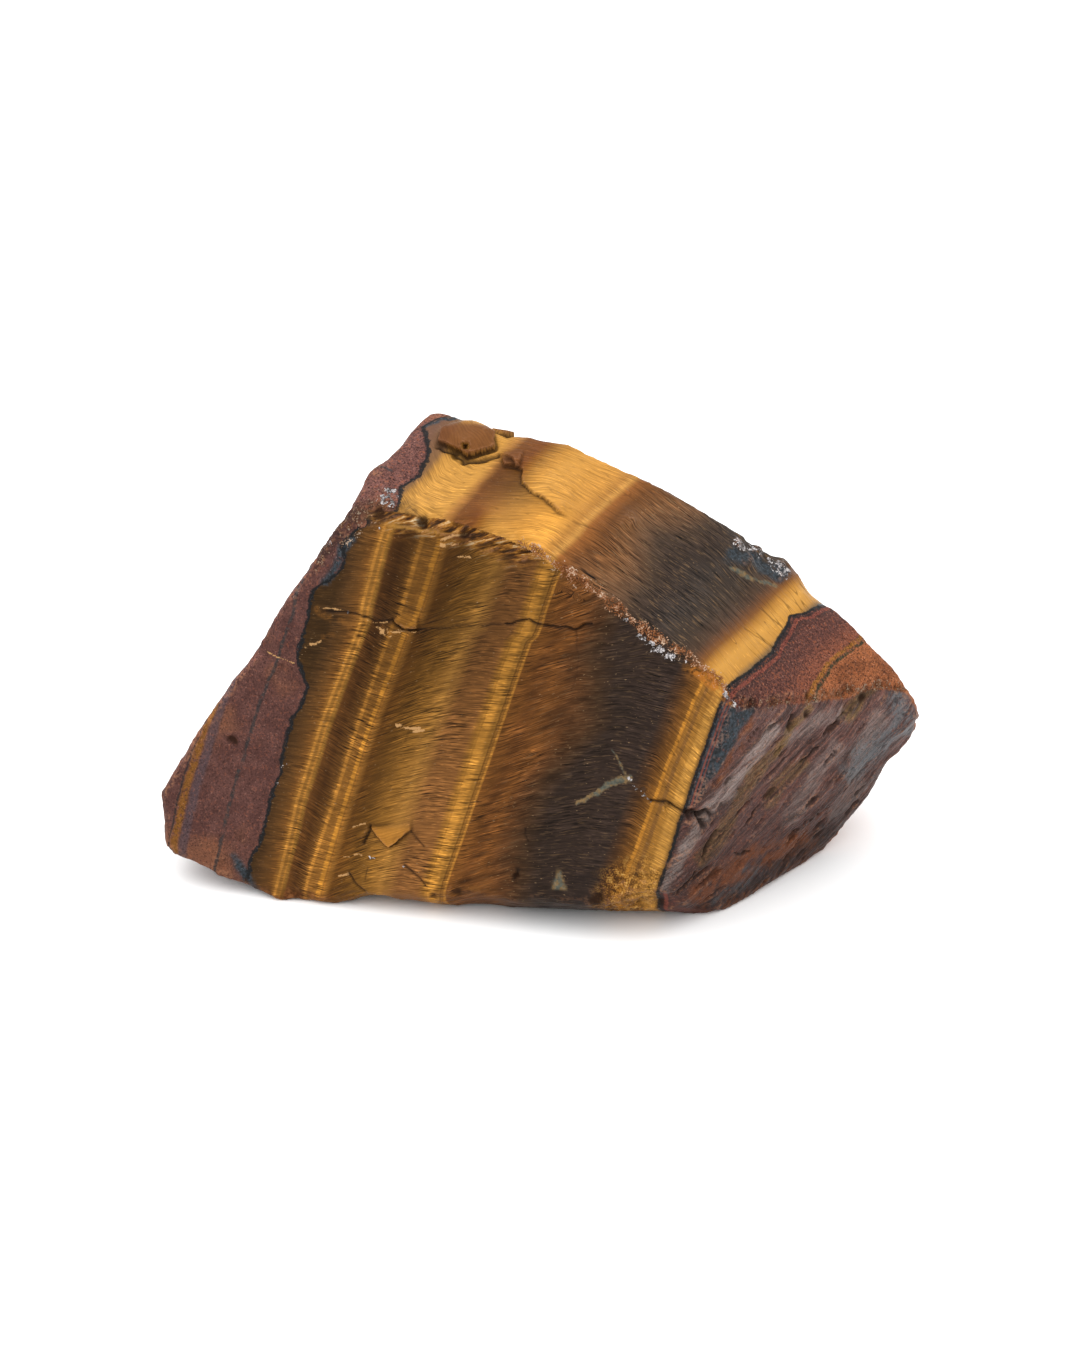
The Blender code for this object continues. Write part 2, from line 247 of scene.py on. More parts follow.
# Small lumps: middle, how wide, how high
lumps = (
    ((6.6, 0.6, 29.6), 0.6, 0.35), ((1.4, -1.2, 31.4), 0.3, 0.2), ((15.4, 3.7, 26.3), 0.55, 0.35),
    ((17.0, 4.2, 25.2), 0.6, 0.4), ((18.9, 4.1, 23.8), 0.8, 0.45), ((16.2, 2.2, 25.2), 0.8, 0.3),
)

# Narrow grooves: half width, depth, how far it wanders, and its line
grooves = {
    "crackLeft": (0.08, 0.2, 0.5, ((-17.1, -3.6, 23.8), (-15.3, -4.0, 24.0), (-14.1, -4.4, 23.8),
        (-12.9, -4.8, 23.6), (-11.6, -5.0, 23.7), (-10.9, -5.4, 23.2), (-9.8, -5.6, 23.2))),
    "crackRight": (0.06, 0.11, 1.0, ((-9.8, -5.6, 23.2), (-8.2, -6.0, 23.5), (-6.6, -6.3, 23.8),
        (-2.7, -7.2, 24.5))),
    "crackDeep": (0.1, 0.24, 1.0, ((-2.7, -7.2, 24.5), (-1.0, -7.5, 25.0), (-0.3, -7.8, 24.7),
        (2.4, -8.4, 24.7), (3.8, -8.7, 25.2))),
    "crackFine": (0.06, 0.09, 1.0, ((2.5, -8.4, 24.8), (2.7, -9.0, 22.3), (2.3, -9.4, 19.9))),
    "veinCrack": (0.11, 0.3, 0.8, ((8.3, -12.7, 12.1), (9.6, -13.1, 12.1), (11.1, -13.6, 11.4))),
    "arcLow": (0.09, 0.14, 1.0, ((-10.9, -9.5, 4.5), (-9.7, -10.0, 3.6), (-9.2, -10.2, 2.9))),
    "arcHigh": (0.08, 0.12, 1.0, ((-10.3, -9.0, 7.3), (-9.3, -9.5, 6.1))),
    "arcLeft": (0.09, 0.15, 0.6, ((-15.3, -8.6, 3.2), (-14.7, -9.0, 2.4), (-13.9, -9.3, 1.7),
        (-13.2, -9.6, 1.3))),
    "arcMiddle": (0.06, 0.08, 0.6, ((-13.7, -8.8, 4.0), (-14.0, -9.0, 2.9))),
    "flakeSide": (0.13, 0.25, 0.5, ((-13.5, -8.2, 7.2), (-14.1, -8.3, 5.8))),
    "notchLow": (0.12, 0.2, 1.0, ((-1.9, -11.6, 5.4), (-2.2, -11.7, 4.5))),
    "notchHigh": (0.07, 0.12, 1.0, ((-1.4, -11.0, 8.6), (-1.1, -11.3, 7.7))),
    "underPlate": (0.16, 0.34, 1.4, ((-8.2, 5.2, 34.0), (-7.0, 4.2, 33.7), (-6.0, 3.5, 33.4),
        (-5.0, 3.7, 33.4), (-4.0, 4.0, 33.5), (-3.4, 4.4, 33.6))),
    "topCrack": (0.07, 0.1, 1.0, ((2.4, -1.8, 30.7), (4.5, -1.8, 29.8), (7.9, -3.3, 27.6))),
    "orangeChip": (0.1, 0.16, 1.0, ((6.1, -6.1, 29.0), (6.8, -5.7, 28.6), (8.6, -5.2, 27.5))),
    "goldCrack": (0.06, 0.08, 0.6, ((15.7, -4.5, 22.8), (18.1, -4.4, 21.0))),
    "goldLine": (0.05, 0.06, 0.6, ((16.4, -6.3, 22.0), (18.6, -1.7, 21.9))),
    "slitOne": (0.1, 0.3, 1.6, ((23.9, -3.8, 15.1), (22.2, -5.0, 13.9))),
    "slitTwo": (0.09, 0.25, 1.6, ((21.7, -5.3, 12.7), (20.2, -6.4, 11.9))),
    "slitThree": (0.1, 0.3, 1.6, ((16.9, -8.7, 9.5), (16.1, -9.2, 7.9))),
    "slitFour": (0.08, 0.2, 1.6, ((23.1, -2.7, 6.0), (20.8, -4.6, 5.4))),
    "slitFive": (0.1, 0.3, 1.6, ((13.8, -11.3, 8.6), (12.8, -12.0, 7.7), (12.5, -12.0, 6.8))),
    "slitSix": (0.1, 0.3, 1.6, ((11.9, -12.3, 5.6), (10.6, -13.1, 4.1))),
    "slitSeven": (0.08, 0.2, 1.6, ((16.3, -8.4, 5.2), (15.1, -9.6, 5.5))),
    "slitEight": (0.2, 0.3, 1.6, ((19.4, -8.0, 17.1), (19.1, -8.1, 15.9))),
    "cornerNotch": (0.3, 0.6, 2.0, ((11.2, -13.7, 11.4), (12.1, -13.2, 11.0), (12.8, -12.7, 10.9))),
    "cornerSplit": (0.2, 0.4, 2.0, ((12.3, -13.1, 10.9), (12.5, -12.9, 9.8))),
}

# White quartz grains: middle and how wide
crystalSpots = (
    ((6.4, -9.2, 25.8), 0.3), ((8.3, -10.2, 23.9), 0.35), ((11.1, -11.0, 23.1), 0.25),
    ((15.4, 3.7, 26.3), 0.55), ((16.9, 4.2, 25.3), 0.5), ((17.3, 3.9, 24.9), 0.5), ((18.7, 4.1, 23.9), 0.85),
    ((19.3, 3.9, 23.4), 0.6), ((-11.9, -0.9, 32.6), 0.9), ((-11.6, -1.9, 32.6), 0.8),
    ((-12.2, -1.6, 32.6), 0.7), ((-13.3, -8.8, 4.8), 0.22), ((-12.3, -9.1, 4.6), 0.16),
    ((-11.0, -9.5, 4.4), 0.16), ((-10.1, -9.8, 3.7), 0.12), ((-16.4, -2.6, 29.3), 0.25),
    ((-15.0, -4.1, 24.0), 0.2), ((-12.6, -3.3, 30.8), 0.3), ((-20.1, -5.3, 12.5), 0.25),
    ((-20.3, -5.6, 11.2), 0.28), ((-20.9, -5.7, 9.8), 0.22),
)

# Straight streaks of white quartz: half width and line
crystalLines = (
    (0.36, ((7.3, -9.6, 24.7), (8.4, -10.1, 24.0), (9.8, -10.7, 23.4))),
    (0.4, ((15.6, 3.6, 26.1), (16.7, 4.2, 25.5))),
    (0.5, ((18.2, 4.1, 24.3), (19.3, 3.6, 23.4))),
    (0.3, ((13.8, -12.2, 21.1), (14.4, -12.45, 20.6), (15.1, -12.7, 19.9))),
    (0.22, lines["veinRight"]),
)

# Grey green veins: half width at the start and at the end, line; and the pale wedge, seen from the front
veins = (
    (0.16, 0.36, lines["veinLeft"]), (0.05, 0.14, lines["veinUp"]),
    (0.2, 0.16, ((15.0, 0.9, 25.4), (16.3, 1.0, 24.5), (18.5, 2.1, 23.3))),
)
paleWedge = ((1.3, 6.0), (0.6, 4.0), (2.0, 4.1))

# Stains of each kind, and the painted sheen of the right face: half width, strength, line
stains = {
    "pale": (
        (0.16, 1.0, ((-7.8, -4.6, 30.3), (-6.9, -4.7, 30.8), (-5.6, -4.9, 31.2))),
        (0.12, 1.0, ((-7.7, -4.7, 30.0), (-6.5, -4.9, 30.2), (-5.6, -5.1, 30.5))),
        (0.13, 1.0, ((-6.6, -5.2, 29.1), (-5.4, -5.4, 29.3))),
        (0.14, 1.0, ((-9.3, -4.2, 30.9), (-8.3, -4.2, 31.4), (-7.2, -4.4, 31.6))),
        (0.12, 1.0, ((-4.9, -5.1, 30.9), (-3.6, -5.6, 30.5))),
        (0.13, 1.0, ((-18.4, -3.9, 20.8), (-17.2, -4.1, 21.5))),
        (0.11, 1.0, ((-22.5, -2.9, 20.7), (-21.1, -3.5, 20.0), (-19.4, -4.0, 19.5))),
        (0.15, 1.0, ((-12.9, -4.9, 23.1), (-11.9, -5.1, 22.8), (-11.0, -5.4, 22.9))),
        (0.1, 1.0, ((-12.6, -4.9, 22.7), (-11.9, -5.1, 22.4), (-11.3, -5.3, 22.3))),
        (0.1, 1.0, ((-13.6, -4.6, 23.5), (-12.9, -4.8, 23.4), (-12.0, -4.9, 23.5))),
        (0.1, 1.0, ((-11.2, -5.2, 23.1), (-10.9, -5.4, 23.0), (-9.8, -5.6, 23.0))),
        (0.1, 1.0, ((-17.3, -3.5, 24.1), (-15.3, -4.0, 24.1))),
        (0.27, 1.0, ((-11.2, -7.0, 15.55), (-10.4, -7.15, 15.45), (-9.3, -7.4, 15.35))),
        (0.12, 1.0, ((-14.9, -8.2, 7.2), (-13.9, -8.2, 7.5))),
        (0.12, 1.0, ((-15.9, -8.0, 4.3), (-14.3, -8.5, 4.9))),
        (0.12, 1.0, ((-16.4, -8.4, 2.8), (-15.2, -8.6, 3.2))),
    ),
    "rust": (
        (0.3, 0.7, ((-12.4, -5.0, 23.0), (-11.6, -5.2, 22.6))),
        (0.25, 0.7, ((-17.0, -3.7, 21.6), (-16.2, -3.9, 21.9))),
        (1.5, 0.9, ((12.4, -11.4, 3.2), (14.2, -9.9, 3.5), (16.5, -8.1, 4.1), (21.2, -3.9, 3.4))),
        (0.7, 0.9, ((15.7, -11.6, 19.2), (15.6, -11.4, 17.4), (14.5, -12.0, 15.6), (13.3, -12.7, 13.6))),
        (0.4, 0.8, ((-17.4, -3.5, 23.9), (-16.6, -3.9, 23.5))),
        (0.35, 0.8, ((-15.6, -3.9, 23.2), (-14.9, -4.1, 22.8), (-15.0, -4.3, 22.2))),
        (1.6, 0.9, ((24.0, -2.0, 17.4), (27.0, 0.0, 16.6))),
        (0.45, 0.8, ((-20.3, -7.9, 0.7), (-17.4, -8.7, 0.5), (-12.0, -9.9, 1.1), (-8.4, -10.6, 2.4),
            (-5.2, -11.2, 3.2))),
        (0.7, 0.9, ((11.0, -11.6, 22.8), (13.4, -11.9, 21.6), (12.6, -12.4, 20.4))),
    ),
    "grey": (
        (1.5, 1.0, ((28.6, 0.5, 13.7), (29.4, 1.6, 11.4), (26.4, -0.7, 10.1), (24.9, -1.7, 8.7))),
        (1.2, 1.0, ((14.0, -9.6, 0.8), (16.0, -8.2, 2.3), (17.2, -7.2, 2.6))),
    ),
    "steel": (
        (0.6, 1.0, ((-24.2, -6.5, 2.8), (-23.6, -6.7, 1.7), (-23.2, -6.9, 0.8))),
        (0.9, 1.0, ((15.0, 2.0, 26.0), (16.8, 3.2, 24.9), (19.0, 3.2, 23.6))),
        (0.5, 1.0, ((-14.8, -2.9, 29.7), (-15.5, -2.9, 28.7), (-15.9, -3.1, 27.4), (-16.8, -3.2, 26.2))),
        (0.24, 1.0, ((-9.3, 7.9, 34.6), (-7.9, 8.6, 34.8), (-6.3, 8.9, 34.8), (-5.3, 7.8, 34.5))),
        (0.14, 1.0, ((-12.7, 2.4, 33.4), (-11.7, 1.9, 33.2))),
        (0.4, 0.8, ((-24.6, -6.2, 3.4), (-24.2, -6.4, 2.2))),
    ),
    # painted sheen: light reflected from the right face, drawn as colour
    "sheen": (
        (0.75, 0.9, ((17.8, -9.3, 16.5), (16.1, -10.2, 14.0), (14.0, -11.7, 11.8), (12.5, -12.7, 10.6),
            (11.1, -13.6, 8.6), (9.7, -14.2, 5.7), (8.7, -14.7, 3.7))),
        (0.8, 0.5, ((23.4, -4.3, 15.3), (21.5, -5.9, 15.4), (19.4, -7.6, 14.8))),
        (1.1, 0.5, ((23.3, -3.7, 11.7), (22.1, -4.6, 10.9), (20.9, -5.2, 8.9), (19.8, -5.7, 6.7))),
        (1.2, 0.5, ((27.0, -0.6, 12.6), (24.9, -1.9, 9.4), (25.4, -0.9, 6.5), (24.0, -1.8, 4.8))),
    ),
    "ochre": (
        (0.8, 0.6, ((17.6, -8.9, 13.9), (16.2, -9.9, 12.5), (15.1, -10.4, 10.1), (13.7, -11.2, 7.6),
            (12.3, -12.1, 6.5))),
        (0.8, 0.6, ((20.5, -6.1, 11.7), (19.0, -7.2, 11.0), (17.8, -7.8, 9.0))),
        (0.9, 1.0, ((28.6, 0.6, 15.6), (26.8, -0.6, 16.4), (25.2, -2.2, 15.6), (24.2, -3.2, 14.4))),
        (0.5, 0.9, ((20.9, -6.6, 16.9), (19.4, -7.8, 15.8), (18.2, -8.4, 13.9))),
        (1.1, 0.6, ((-25.8, -6.0, 1.8), (-28.4, -5.2, 3.4), (-29.4, -4.6, 5.6))),
        (0.12, 0.6, ((-1.6, -11.9, 4.3), (-0.4, -12.5, 2.9))),
        (0.2, 0.6, ((-23.1, -3.3, 18.3), (-23.2, -3.3, 17.8))),
        (0.3, 0.6, ((-23.7, -5.2, 9.2), (-23.9, -5.2, 8.4))),
    ),
    # dark stains of the jasper, and painted shade along the foot of the right face
    "dark": (
        (0.5, 0.9, ((26.2, -1.6, 16.0), (25.3, -2.4, 15.4), (24.4, -3.2, 15.0))),
        (1.4, 1.0, ((15.2, -8.4, 0.0), (17.4, -6.6, 0.8), (19.8, -4.8, 1.6), (22.8, -2.4, 3.0))),
        (0.9, 1.0, ((4.7, -13.2, 5.9), (2.8, -12.9, 5.0), (3.1, -13.2, 3.6))),
        (1.3, 1.0, ((-17.4, -2.2, 28.8), (-15.4, -2.6, 30.8), (-13.6, -2.8, 31.9), (-11.7, -3.1, 32.3),
            (-10.1, -3.6, 32.2))),
    ),
    "orange": (
        (0.5, 0.9, ((11.6, -11.3, 22.6), (12.8, -11.8, 21.9), (14.2, -12.4, 20.6))),
    ),
}


def smoothStep(low, high, values):
    t = np.clip((values - low) / (high - low), 0.0, 1.0)
    return t * t * (3.0 - 2.0 * t)


def noiseAt(points, size, seed=0.0):
    places = points / size + seed
    return np.array([noise.noise(place) for place in places.tolist()])


def strandNoise(along, across, third, seed):
    # noise drawn out along a run, from its own three measures
    return noiseAt(np.stack(np.broadcast_arrays(along, across, third), axis=1), 1.0, seed)


def window(values, start, full, fade, end):
    # 1 from full to fade, 0 before start and past end
    return smoothStep(start, full, values) * smoothStep(end, fade, values)


def unit(direction):
    direction = np.array(direction, float)
    return direction / np.linalg.norm(direction)


def seenFlat(places):
    # places pressed together along the camera's view, so that a mark drawn on a face also finds its bumps
    view = unit(faces["camera"])
    places = np.array(places, float)
    return places - stone["pressed"] * (places @ view)[..., None] * view


def spotReach(points, middle):
    return np.linalg.norm(seenFlat(points - middle), axis=1)


def lineReach(points, line):
    # distance to a bent line, how far along it (0 to 1), and the side it lies on; all as the camera sees them
    corners = seenFlat(line)
    points = seenFlat(points)
    best = np.full(len(points), 1e9)
    along = np.zeros(len(points))
    side = np.ones(len(points))
    for number, (start, end) in enumerate(zip(corners[:-1], corners[1:])):
        run = end - start
        away = points - start
        share = np.clip((away @ run) / (run @ run), 0.0, 1.0)
        reach = np.linalg.norm(away - share[:, None] * run, axis=1)
        nearer = reach < best
        best = np.where(nearer, reach, best)
        along = np.where(nearer, (number + share) / (len(corners) - 1), along)
        side = np.where(nearer, np.sign(run[0] * away[:, 1] - run[1] * away[:, 0]), side)
    return best, along, side


def outlineReach(flat, outline):
    # distance inside an outline, negative outside it
    corners = np.array(outline)
    best = np.full(len(flat), 1e9)
    inside = np.zeros(len(flat), bool)
    for start, end in zip(corners, np.roll(corners, -1, axis=0)):
        run = end - start
        away = flat - start
        share = np.clip((away @ run) / (run @ run), 0.0, 1.0)
        best = np.minimum(best, np.linalg.norm(away - share[:, None] * run, axis=1))
        if run[1] != 0.0:
            crossing = start[0] + away[:, 1] * run[0] / run[1]
            between = (flat[:, 1] > min(start[1], end[1])) & (flat[:, 1] <= max(start[1], end[1]))
            inside ^= between & (flat[:, 0] < crossing)
    return np.where(inside, best, -best)


def facePlan(points, plate):
    # the two measures in which a plate's outline is drawn
    return points[:, :2] if plate["seenFrom"] == "above" else points[:, ::2]


def applied(piece):
    # the piece's mesh with its modifiers applied
    graph = bpy.context.evaluated_depsgraph_get()
    mesh = bpy.data.meshes.new_from_object(piece.evaluated_get(graph))
    piece.modifiers.clear()
    piece.data = mesh
    return mesh


def evenSkin(node):
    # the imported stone, merged and covered with small even quads
    bm = bmesh.new()
    bm.from_mesh(node.data)
    bmesh.ops.remove_doubles(bm, verts=bm.verts, dist=1e-6)
    piece = newObject("roughTigersEye", newMesh("roughTigersEye", bm))
    skin = piece.modifiers.new("skin", "REMESH")
    skin.mode = "VOXEL"
    skin.voxel_size = stone["skin"] / mmPerMetre
    applied(piece)
    return piece


def splitNear(bm, chosen):
    # one finer step of quads over the chosen faces
    edges = {edge for face in chosen for edge in face.edges}
    bmesh.ops.subdivide_edges(bm, edges=list(edges), cuts=1, use_grid_fill=True)
    bm.normal_update()


def soften(bm, verts, share, passes=1):
    for step in range(passes):
        bmesh.ops.smooth_vert(bm, verts=verts, factor=share,
                              use_axis_x=True, use_axis_y=True, use_axis_z=True)
    bm.normal_update()


def refine(piece):
    bm = bmesh.new()
    bm.from_mesh(piece.data)
    bm.normal_update()
    soften(bm, bm.verts, 0.5, stone["smoothAll"])
    turn = math.radians(stone["flatTurn"])
    flats = [v for v in bm.verts if max(f.normal.angle(v.normal, 0.0) for f in v.link_faces) < turn]
    soften(bm, flats, 0.5, stone["smoothFlats"])
    toCamera = np.array(faces["camera"])
    splitNear(bm, [f for f in bm.faces if np.dot(toCamera, f.normal) > stone["turnedAway"]])
    centres = np.array([f.calc_center_median() for f in bm.faces]) * mmPerMetre
    reach = np.full(len(centres), 1e9)
    drawn = [line for name, line in lines.items() if name != "rightEdge"]
    for line in drawn + [line for wide, deep, stray, line in grooves.values()]:
        reach = np.minimum(reach, lineReach(centres, line)[0])
    for plate in plates.values():
        edgeReach = np.abs(outlineReach(facePlan(centres, plate), plate["outline"]))
        above = plate["seenFrom"] == "above"
        level = centres[:, 2] > stone["plateLevel"] if above else centres[:, 1] < stone["flakeDepth"]
        reach = np.minimum(reach, np.where(level, edgeReach, 1e9))
    near = reach < stone["fineReach"]
    toward = np.array([np.dot(toCamera, f.normal) > stone["turnedAway"] for f in bm.faces])
    bm.faces.ensure_lookup_table()
    splitNear(bm, [bm.faces[number] for number in np.flatnonzero(near & toward)])
    bmesh.ops.triangulate(bm, faces=bm.faces)
    soften(bm, bm.verts, 0.4)
    print("stone skin:", len(bm.verts), "points,", len(bm.faces), "triangles")
    bm.to_mesh(piece.data)
    bm.free()


def readPoints(mesh):
    flat = np.empty(len(mesh.vertices) * 3)
    mesh.vertices.foreach_get("co", flat)
    points = flat.reshape(-1, 3) * mmPerMetre
    mesh.vertex_normals.foreach_get("vector", flat)
    return points, flat.reshape(-1, 3).copy()


def calm(values, mesh, passes):
    # evens out a value over neighbouring points
    ends = np.empty(len(mesh.edges) * 2, dtype=np.int64)
    mesh.edges.foreach_get("vertices", ends)
    first, second = ends.reshape(-1, 2).T
    count = np.bincount(first, minlength=len(values)) + np.bincount(second, minlength=len(values))
    columns = np.atleast_2d(values.T)
    for step in range(passes):
        columns = np.array([(np.bincount(first, column[second], len(count))
                             + np.bincount(second, column[first], len(count))) / count
                            for column in columns])
    return columns.T if values.ndim == 2 else columns[0]


def layersOf(points, topness):
    # how far across the layers each point lies, with the drawn bands kept to their courses on the front
    straight = points @ unit(stone["across"]) + stone["start"]
    heights = stone["courseHeights"][::-1]
    counted = np.array(sorted(stone["courses"]))
    placed = np.stack([np.interp(points[:, 2], heights, stone["courses"][at][::-1])
                       for at in counted], axis=1)
    placed = placed * (1.0 - topness[:, None]) + counted * topness[:, None]
    layer = counted[0] + np.minimum(straight - placed[:, 0], 0.0) + np.maximum(straight - placed[:, -1], 0.0)
    for number in range(len(counted) - 1):
        wide = placed[:, number + 1] - placed[:, number]
        share = np.clip((straight - placed[:, number]) / wide, 0.0, 1.0)
        layer = layer + share * (counted[number + 1] - counted[number])
    return straight, layer


def curveAt(values, curve):
    places, heights = zip(*curve)
    return np.interp(values, places, heights)


# How rough each kind of surface is, in mm
relief = {
    "fibre": 0.045,
    "splinter": 0.1,
    "scallop": 0.16,
    "jasperGrain": 0.045,
    "jasperSwell": 0.09,
    "furrow": 0.2,
    "furrowRun": (-0.69, -0.49, -0.54),
    "ridgeCrumb": 0.18,
    "ridgeWide": 0.8,
    "underRidge": 0.34,
    "backCrumb": 0.16,
    "ledge": 0.34,
    "footMiddle": (7.6, -13.9, 3.4),  # the crumbly foot of the last gold band
}


def survey(mesh):
    # everything that the carving and the finish need to know about each point of the skin
    points, normals = readPoints(mesh)
    z = points[:, 2]
    soft = calm(normals, mesh, 3)
    broad = calm(normals, mesh, 10)
    ragged = noiseAt(points, 1.3, 61.0)
    coarse = noiseAt(points, 0.62, 67.0)
    gritty = noiseAt(points, 0.28, 71.0)
    broad /= np.linalg.norm(broad, axis=1)[:, None]
    facing = smoothStep(-0.3, 0.0, broad @ unit(faces["camera"]))
    # above the drawn ridge counts as the top; away from it the slope decides
    topness = smoothStep(0.44, 0.54, calm(normals, mesh, 1)[:, 2] + 0.05 * coarse + 0.04 * gritty)
    wholeRidge = lines["ridgeLeft"] + lines["ridgeRight"][1:] + lines["rightEdge"][1:]
    ridge, along, side = lineReach(points, wholeRidge)
    drawn = smoothStep(-0.08, 0.08, ridge * side + 0.25 * coarse + 0.1 * gritty)
    near = smoothStep(1.7, 1.0, ridge) * facing
    topness = topness * (1.0 - near) + drawn * near
    straight, layer = layersOf(points, topness)
    fibre = ((z - curveAt(layer, stone["fibreFront"])) * (1.0 - topness)
             + (points[:, 1] + curveAt(layer, stone["fibreTop"])) * topness)
    seamLeft = straight - (curveAt(z, stone["seamFront"]) * (1.0 - topness)
                           + curveAt(points[:, 1], stone["seamTop"]) * topness)
    seamRight = ((30.9 - layer) * (1.0 - topness)
                 + (curveAt(points[:, 1], stone["rightSeamTop"]) - straight) * topness)
    beyond = curveAt(z, stone["stripEdge"]) - straight - 0.25 * ragged
    strip = smoothStep(0.0, 0.15, -seamRight) * smoothStep(-0.12, 0.12, beyond) * (1.0 - topness)
    strip = strip * smoothStep(11.0, 12.0, z + 0.3 * ragged) * (points[:, 1] < -9.5)
    run = unit(relief["furrowRun"])
    over = unit(np.cross(unit(faces["side"]), run))
    return {
        "points": points, "broad": broad, "facing": facing,
        "ragged": ragged, "coarse": coarse, "gritty": gritty,
        "topness": topness, "straight": straight, "layer": layer, "fibre": fibre,
        "seamLeft": seamLeft, "seamRight": seamRight,
        "silky": smoothStep(0.0, 0.4, seamLeft) * smoothStep(0.0, 0.4, seamRight),
        "sideness": smoothStep(0.7, 0.84, soft @ unit(faces["side"]) + 0.04 * ragged) * (1.0 - strip),
        "strip": strip,
        "frontness": smoothStep(0.7, 0.9, soft @ unit(faces["front"])),
        "alongRun": points @ run, "overRun": points @ over,
        "leanRun": points[:, 0] * 0.97 + z * 0.26, "leanOver": points[:, 0] * 0.26 - z * 0.97,
        "wander": np.stack([noiseAt(points, 0.7, seed) for seed in (91.0, 97.0, 101.0)], axis=1) * 0.16,
    }


def fibreRelief(place):
    # fine ribs along the fibre run, overlapping splinters that end in small steps, and shallow scallops
    layer, fibre, shelf = place["layer"], place["fibre"], place["topness"] * 5.0
    ribs = strandNoise(layer * 0.5, fibre * 2.6, shelf, 3.0)
    finer = strandNoise(layer * 0.8, fibre * 5.0, shelf, 17.0)
    slow = strandNoise(layer * 0.2, fibre * 0.5, shelf, 41.0)
    saw = (fibre * 0.7 + slow * 2.6) % 1.0
    saw = np.where(saw < 0.84, saw / 0.84, (1.0 - saw) / 0.16)
    scallop = np.abs(strandNoise(layer * 0.3, fibre * 0.42, shelf, 47.0))
    z = place["points"][:, 2]
    flakyLow = smoothStep(9.0, 4.0, z) * smoothStep(18.0, 14.0, layer)
    flakyHigh = smoothStep(22.0, 27.0, z) * window(layer, 5.5, 7.5, 12.0, 16.0)
    flaky = np.clip(flakyLow + flakyHigh, 0.0, 1.0) * (1.0 - place["topness"])
    height = relief["fibre"] * (ribs + 0.5 * finer)
    height += relief["splinter"] * (0.35 + 0.65 * flaky) * smoothStep(-0.3, 0.4, slow) * (saw - 0.5)
    height += relief["scallop"] * (0.4 + 0.6 * flaky) * (0.3 - scallop)
    return height * place["silky"]


def jasperRelief(place):
    # a sandy grain over soft swells, with small pits
    points = place["points"]
    grain = noiseAt(points, 0.4, 5.0)
    swell = noiseAt(points, 2.6, 9.0)
    pits = smoothStep(0.34, 0.55, noiseAt(points, 0.95, 23.0)) * smoothStep(0.0, 0.35, swell)
    height = relief["jasperGrain"] * grain + relief["jasperSwell"] * swell
    return (height + 0.05 * place["coarse"] - 0.16 * pits) * (1.0 - place["silky"])


def sideRelief(place):
    # the right face has long furrows that fall to the left
    alongRun, overRun = place["alongRun"], place["overRun"]
    bend = overRun + 0.5 * noiseAt(place["points"], 5.0, 29.0)
    wide = strandNoise(alongRun * 0.13, bend * 0.6, 0.0, 31.0)
    narrow = strandNoise(alongRun * 0.25, bend * 1.9, 0.0, 37.0)
    thin = strandNoise(alongRun * 0.5, bend * 4.2, 0.0, 43.0)
    slits = smoothStep(0.36, 0.55, strandNoise(alongRun * 0.4, bend * 1.8, 0.0, 53.0))
    height = relief["furrow"] * (1.5 * wide + 0.5 * narrow + 0.22 * thin) - 0.22 * slits
    return height * place["sideness"], slits * place["sideness"]


def edgeRelief(place):
    # crumbled ridges, the loose splinters under the left one, the crumbly foot and the broken rims
    points, ragged, coarse, gritty = (place[name] for name in ("points", "ragged", "coarse", "gritty"))
    left, right, edge, shoulder = (lineReach(points, lines[name])[0] for name in (
        "ridgeLeft", "ridgeRight", "rightEdge", "shoulder"))
    facing = place["facing"]
    crumb = smoothStep(relief["ridgeWide"], 0.1, right + 0.35 * ragged) * facing
    splintered = smoothStep(0.5, 0.1, left + 0.3 * ragged) * facing
    shoulderCrumb = smoothStep(2.4, 0.6, shoulder + 0.5 * ragged) * facing
    edgeCrumb = smoothStep(0.75, 0.1, edge + 0.4 * ragged) * facing
    broken = np.maximum.reduce([crumb, 0.4 * splintered, 0.8 * edgeCrumb, 0.6 * shoulderCrumb])
    height = broken * (relief["ridgeCrumb"] * (coarse - 0.3) + 0.11 * gritty)
    strands = strandNoise(place["leanRun"] * 0.4, place["leanOver"] * 2.5, 0.0, 79.0)
    loose = smoothStep(2.5, 0.7, left + 0.6 * ragged + 2.0 * place["topness"]) * facing
    loose = loose * smoothStep(-14.0, -12.0, points[:, 0])
    height += loose * relief["underRidge"] * (strands * 1.7 - 0.25)
    foot = smoothStep(4.4, 2.4, spotReach(points, relief["footMiddle"]) + ragged) * place["silky"]
    rim = smoothStep(1.6, 0.2, points[:, 2] + 0.6 * ragged)
    rim = rim * (1.0 - smoothStep(0.5, 0.8, -place["broad"][:, 2]))
    height += np.maximum(foot, 0.5 * rim) * (0.26 * (coarse - 0.2) + 0.09 * gritty)
    height += (1.0 - facing) * relief["backCrumb"] * (0.7 * noiseAt(points, 1.4, 83.0) + 0.5 * coarse)
    jaspery = np.maximum(0.85 * edgeCrumb, 0.4 * shoulderCrumb)
    return height, np.maximum(crumb, jaspery), loose, foot, rim


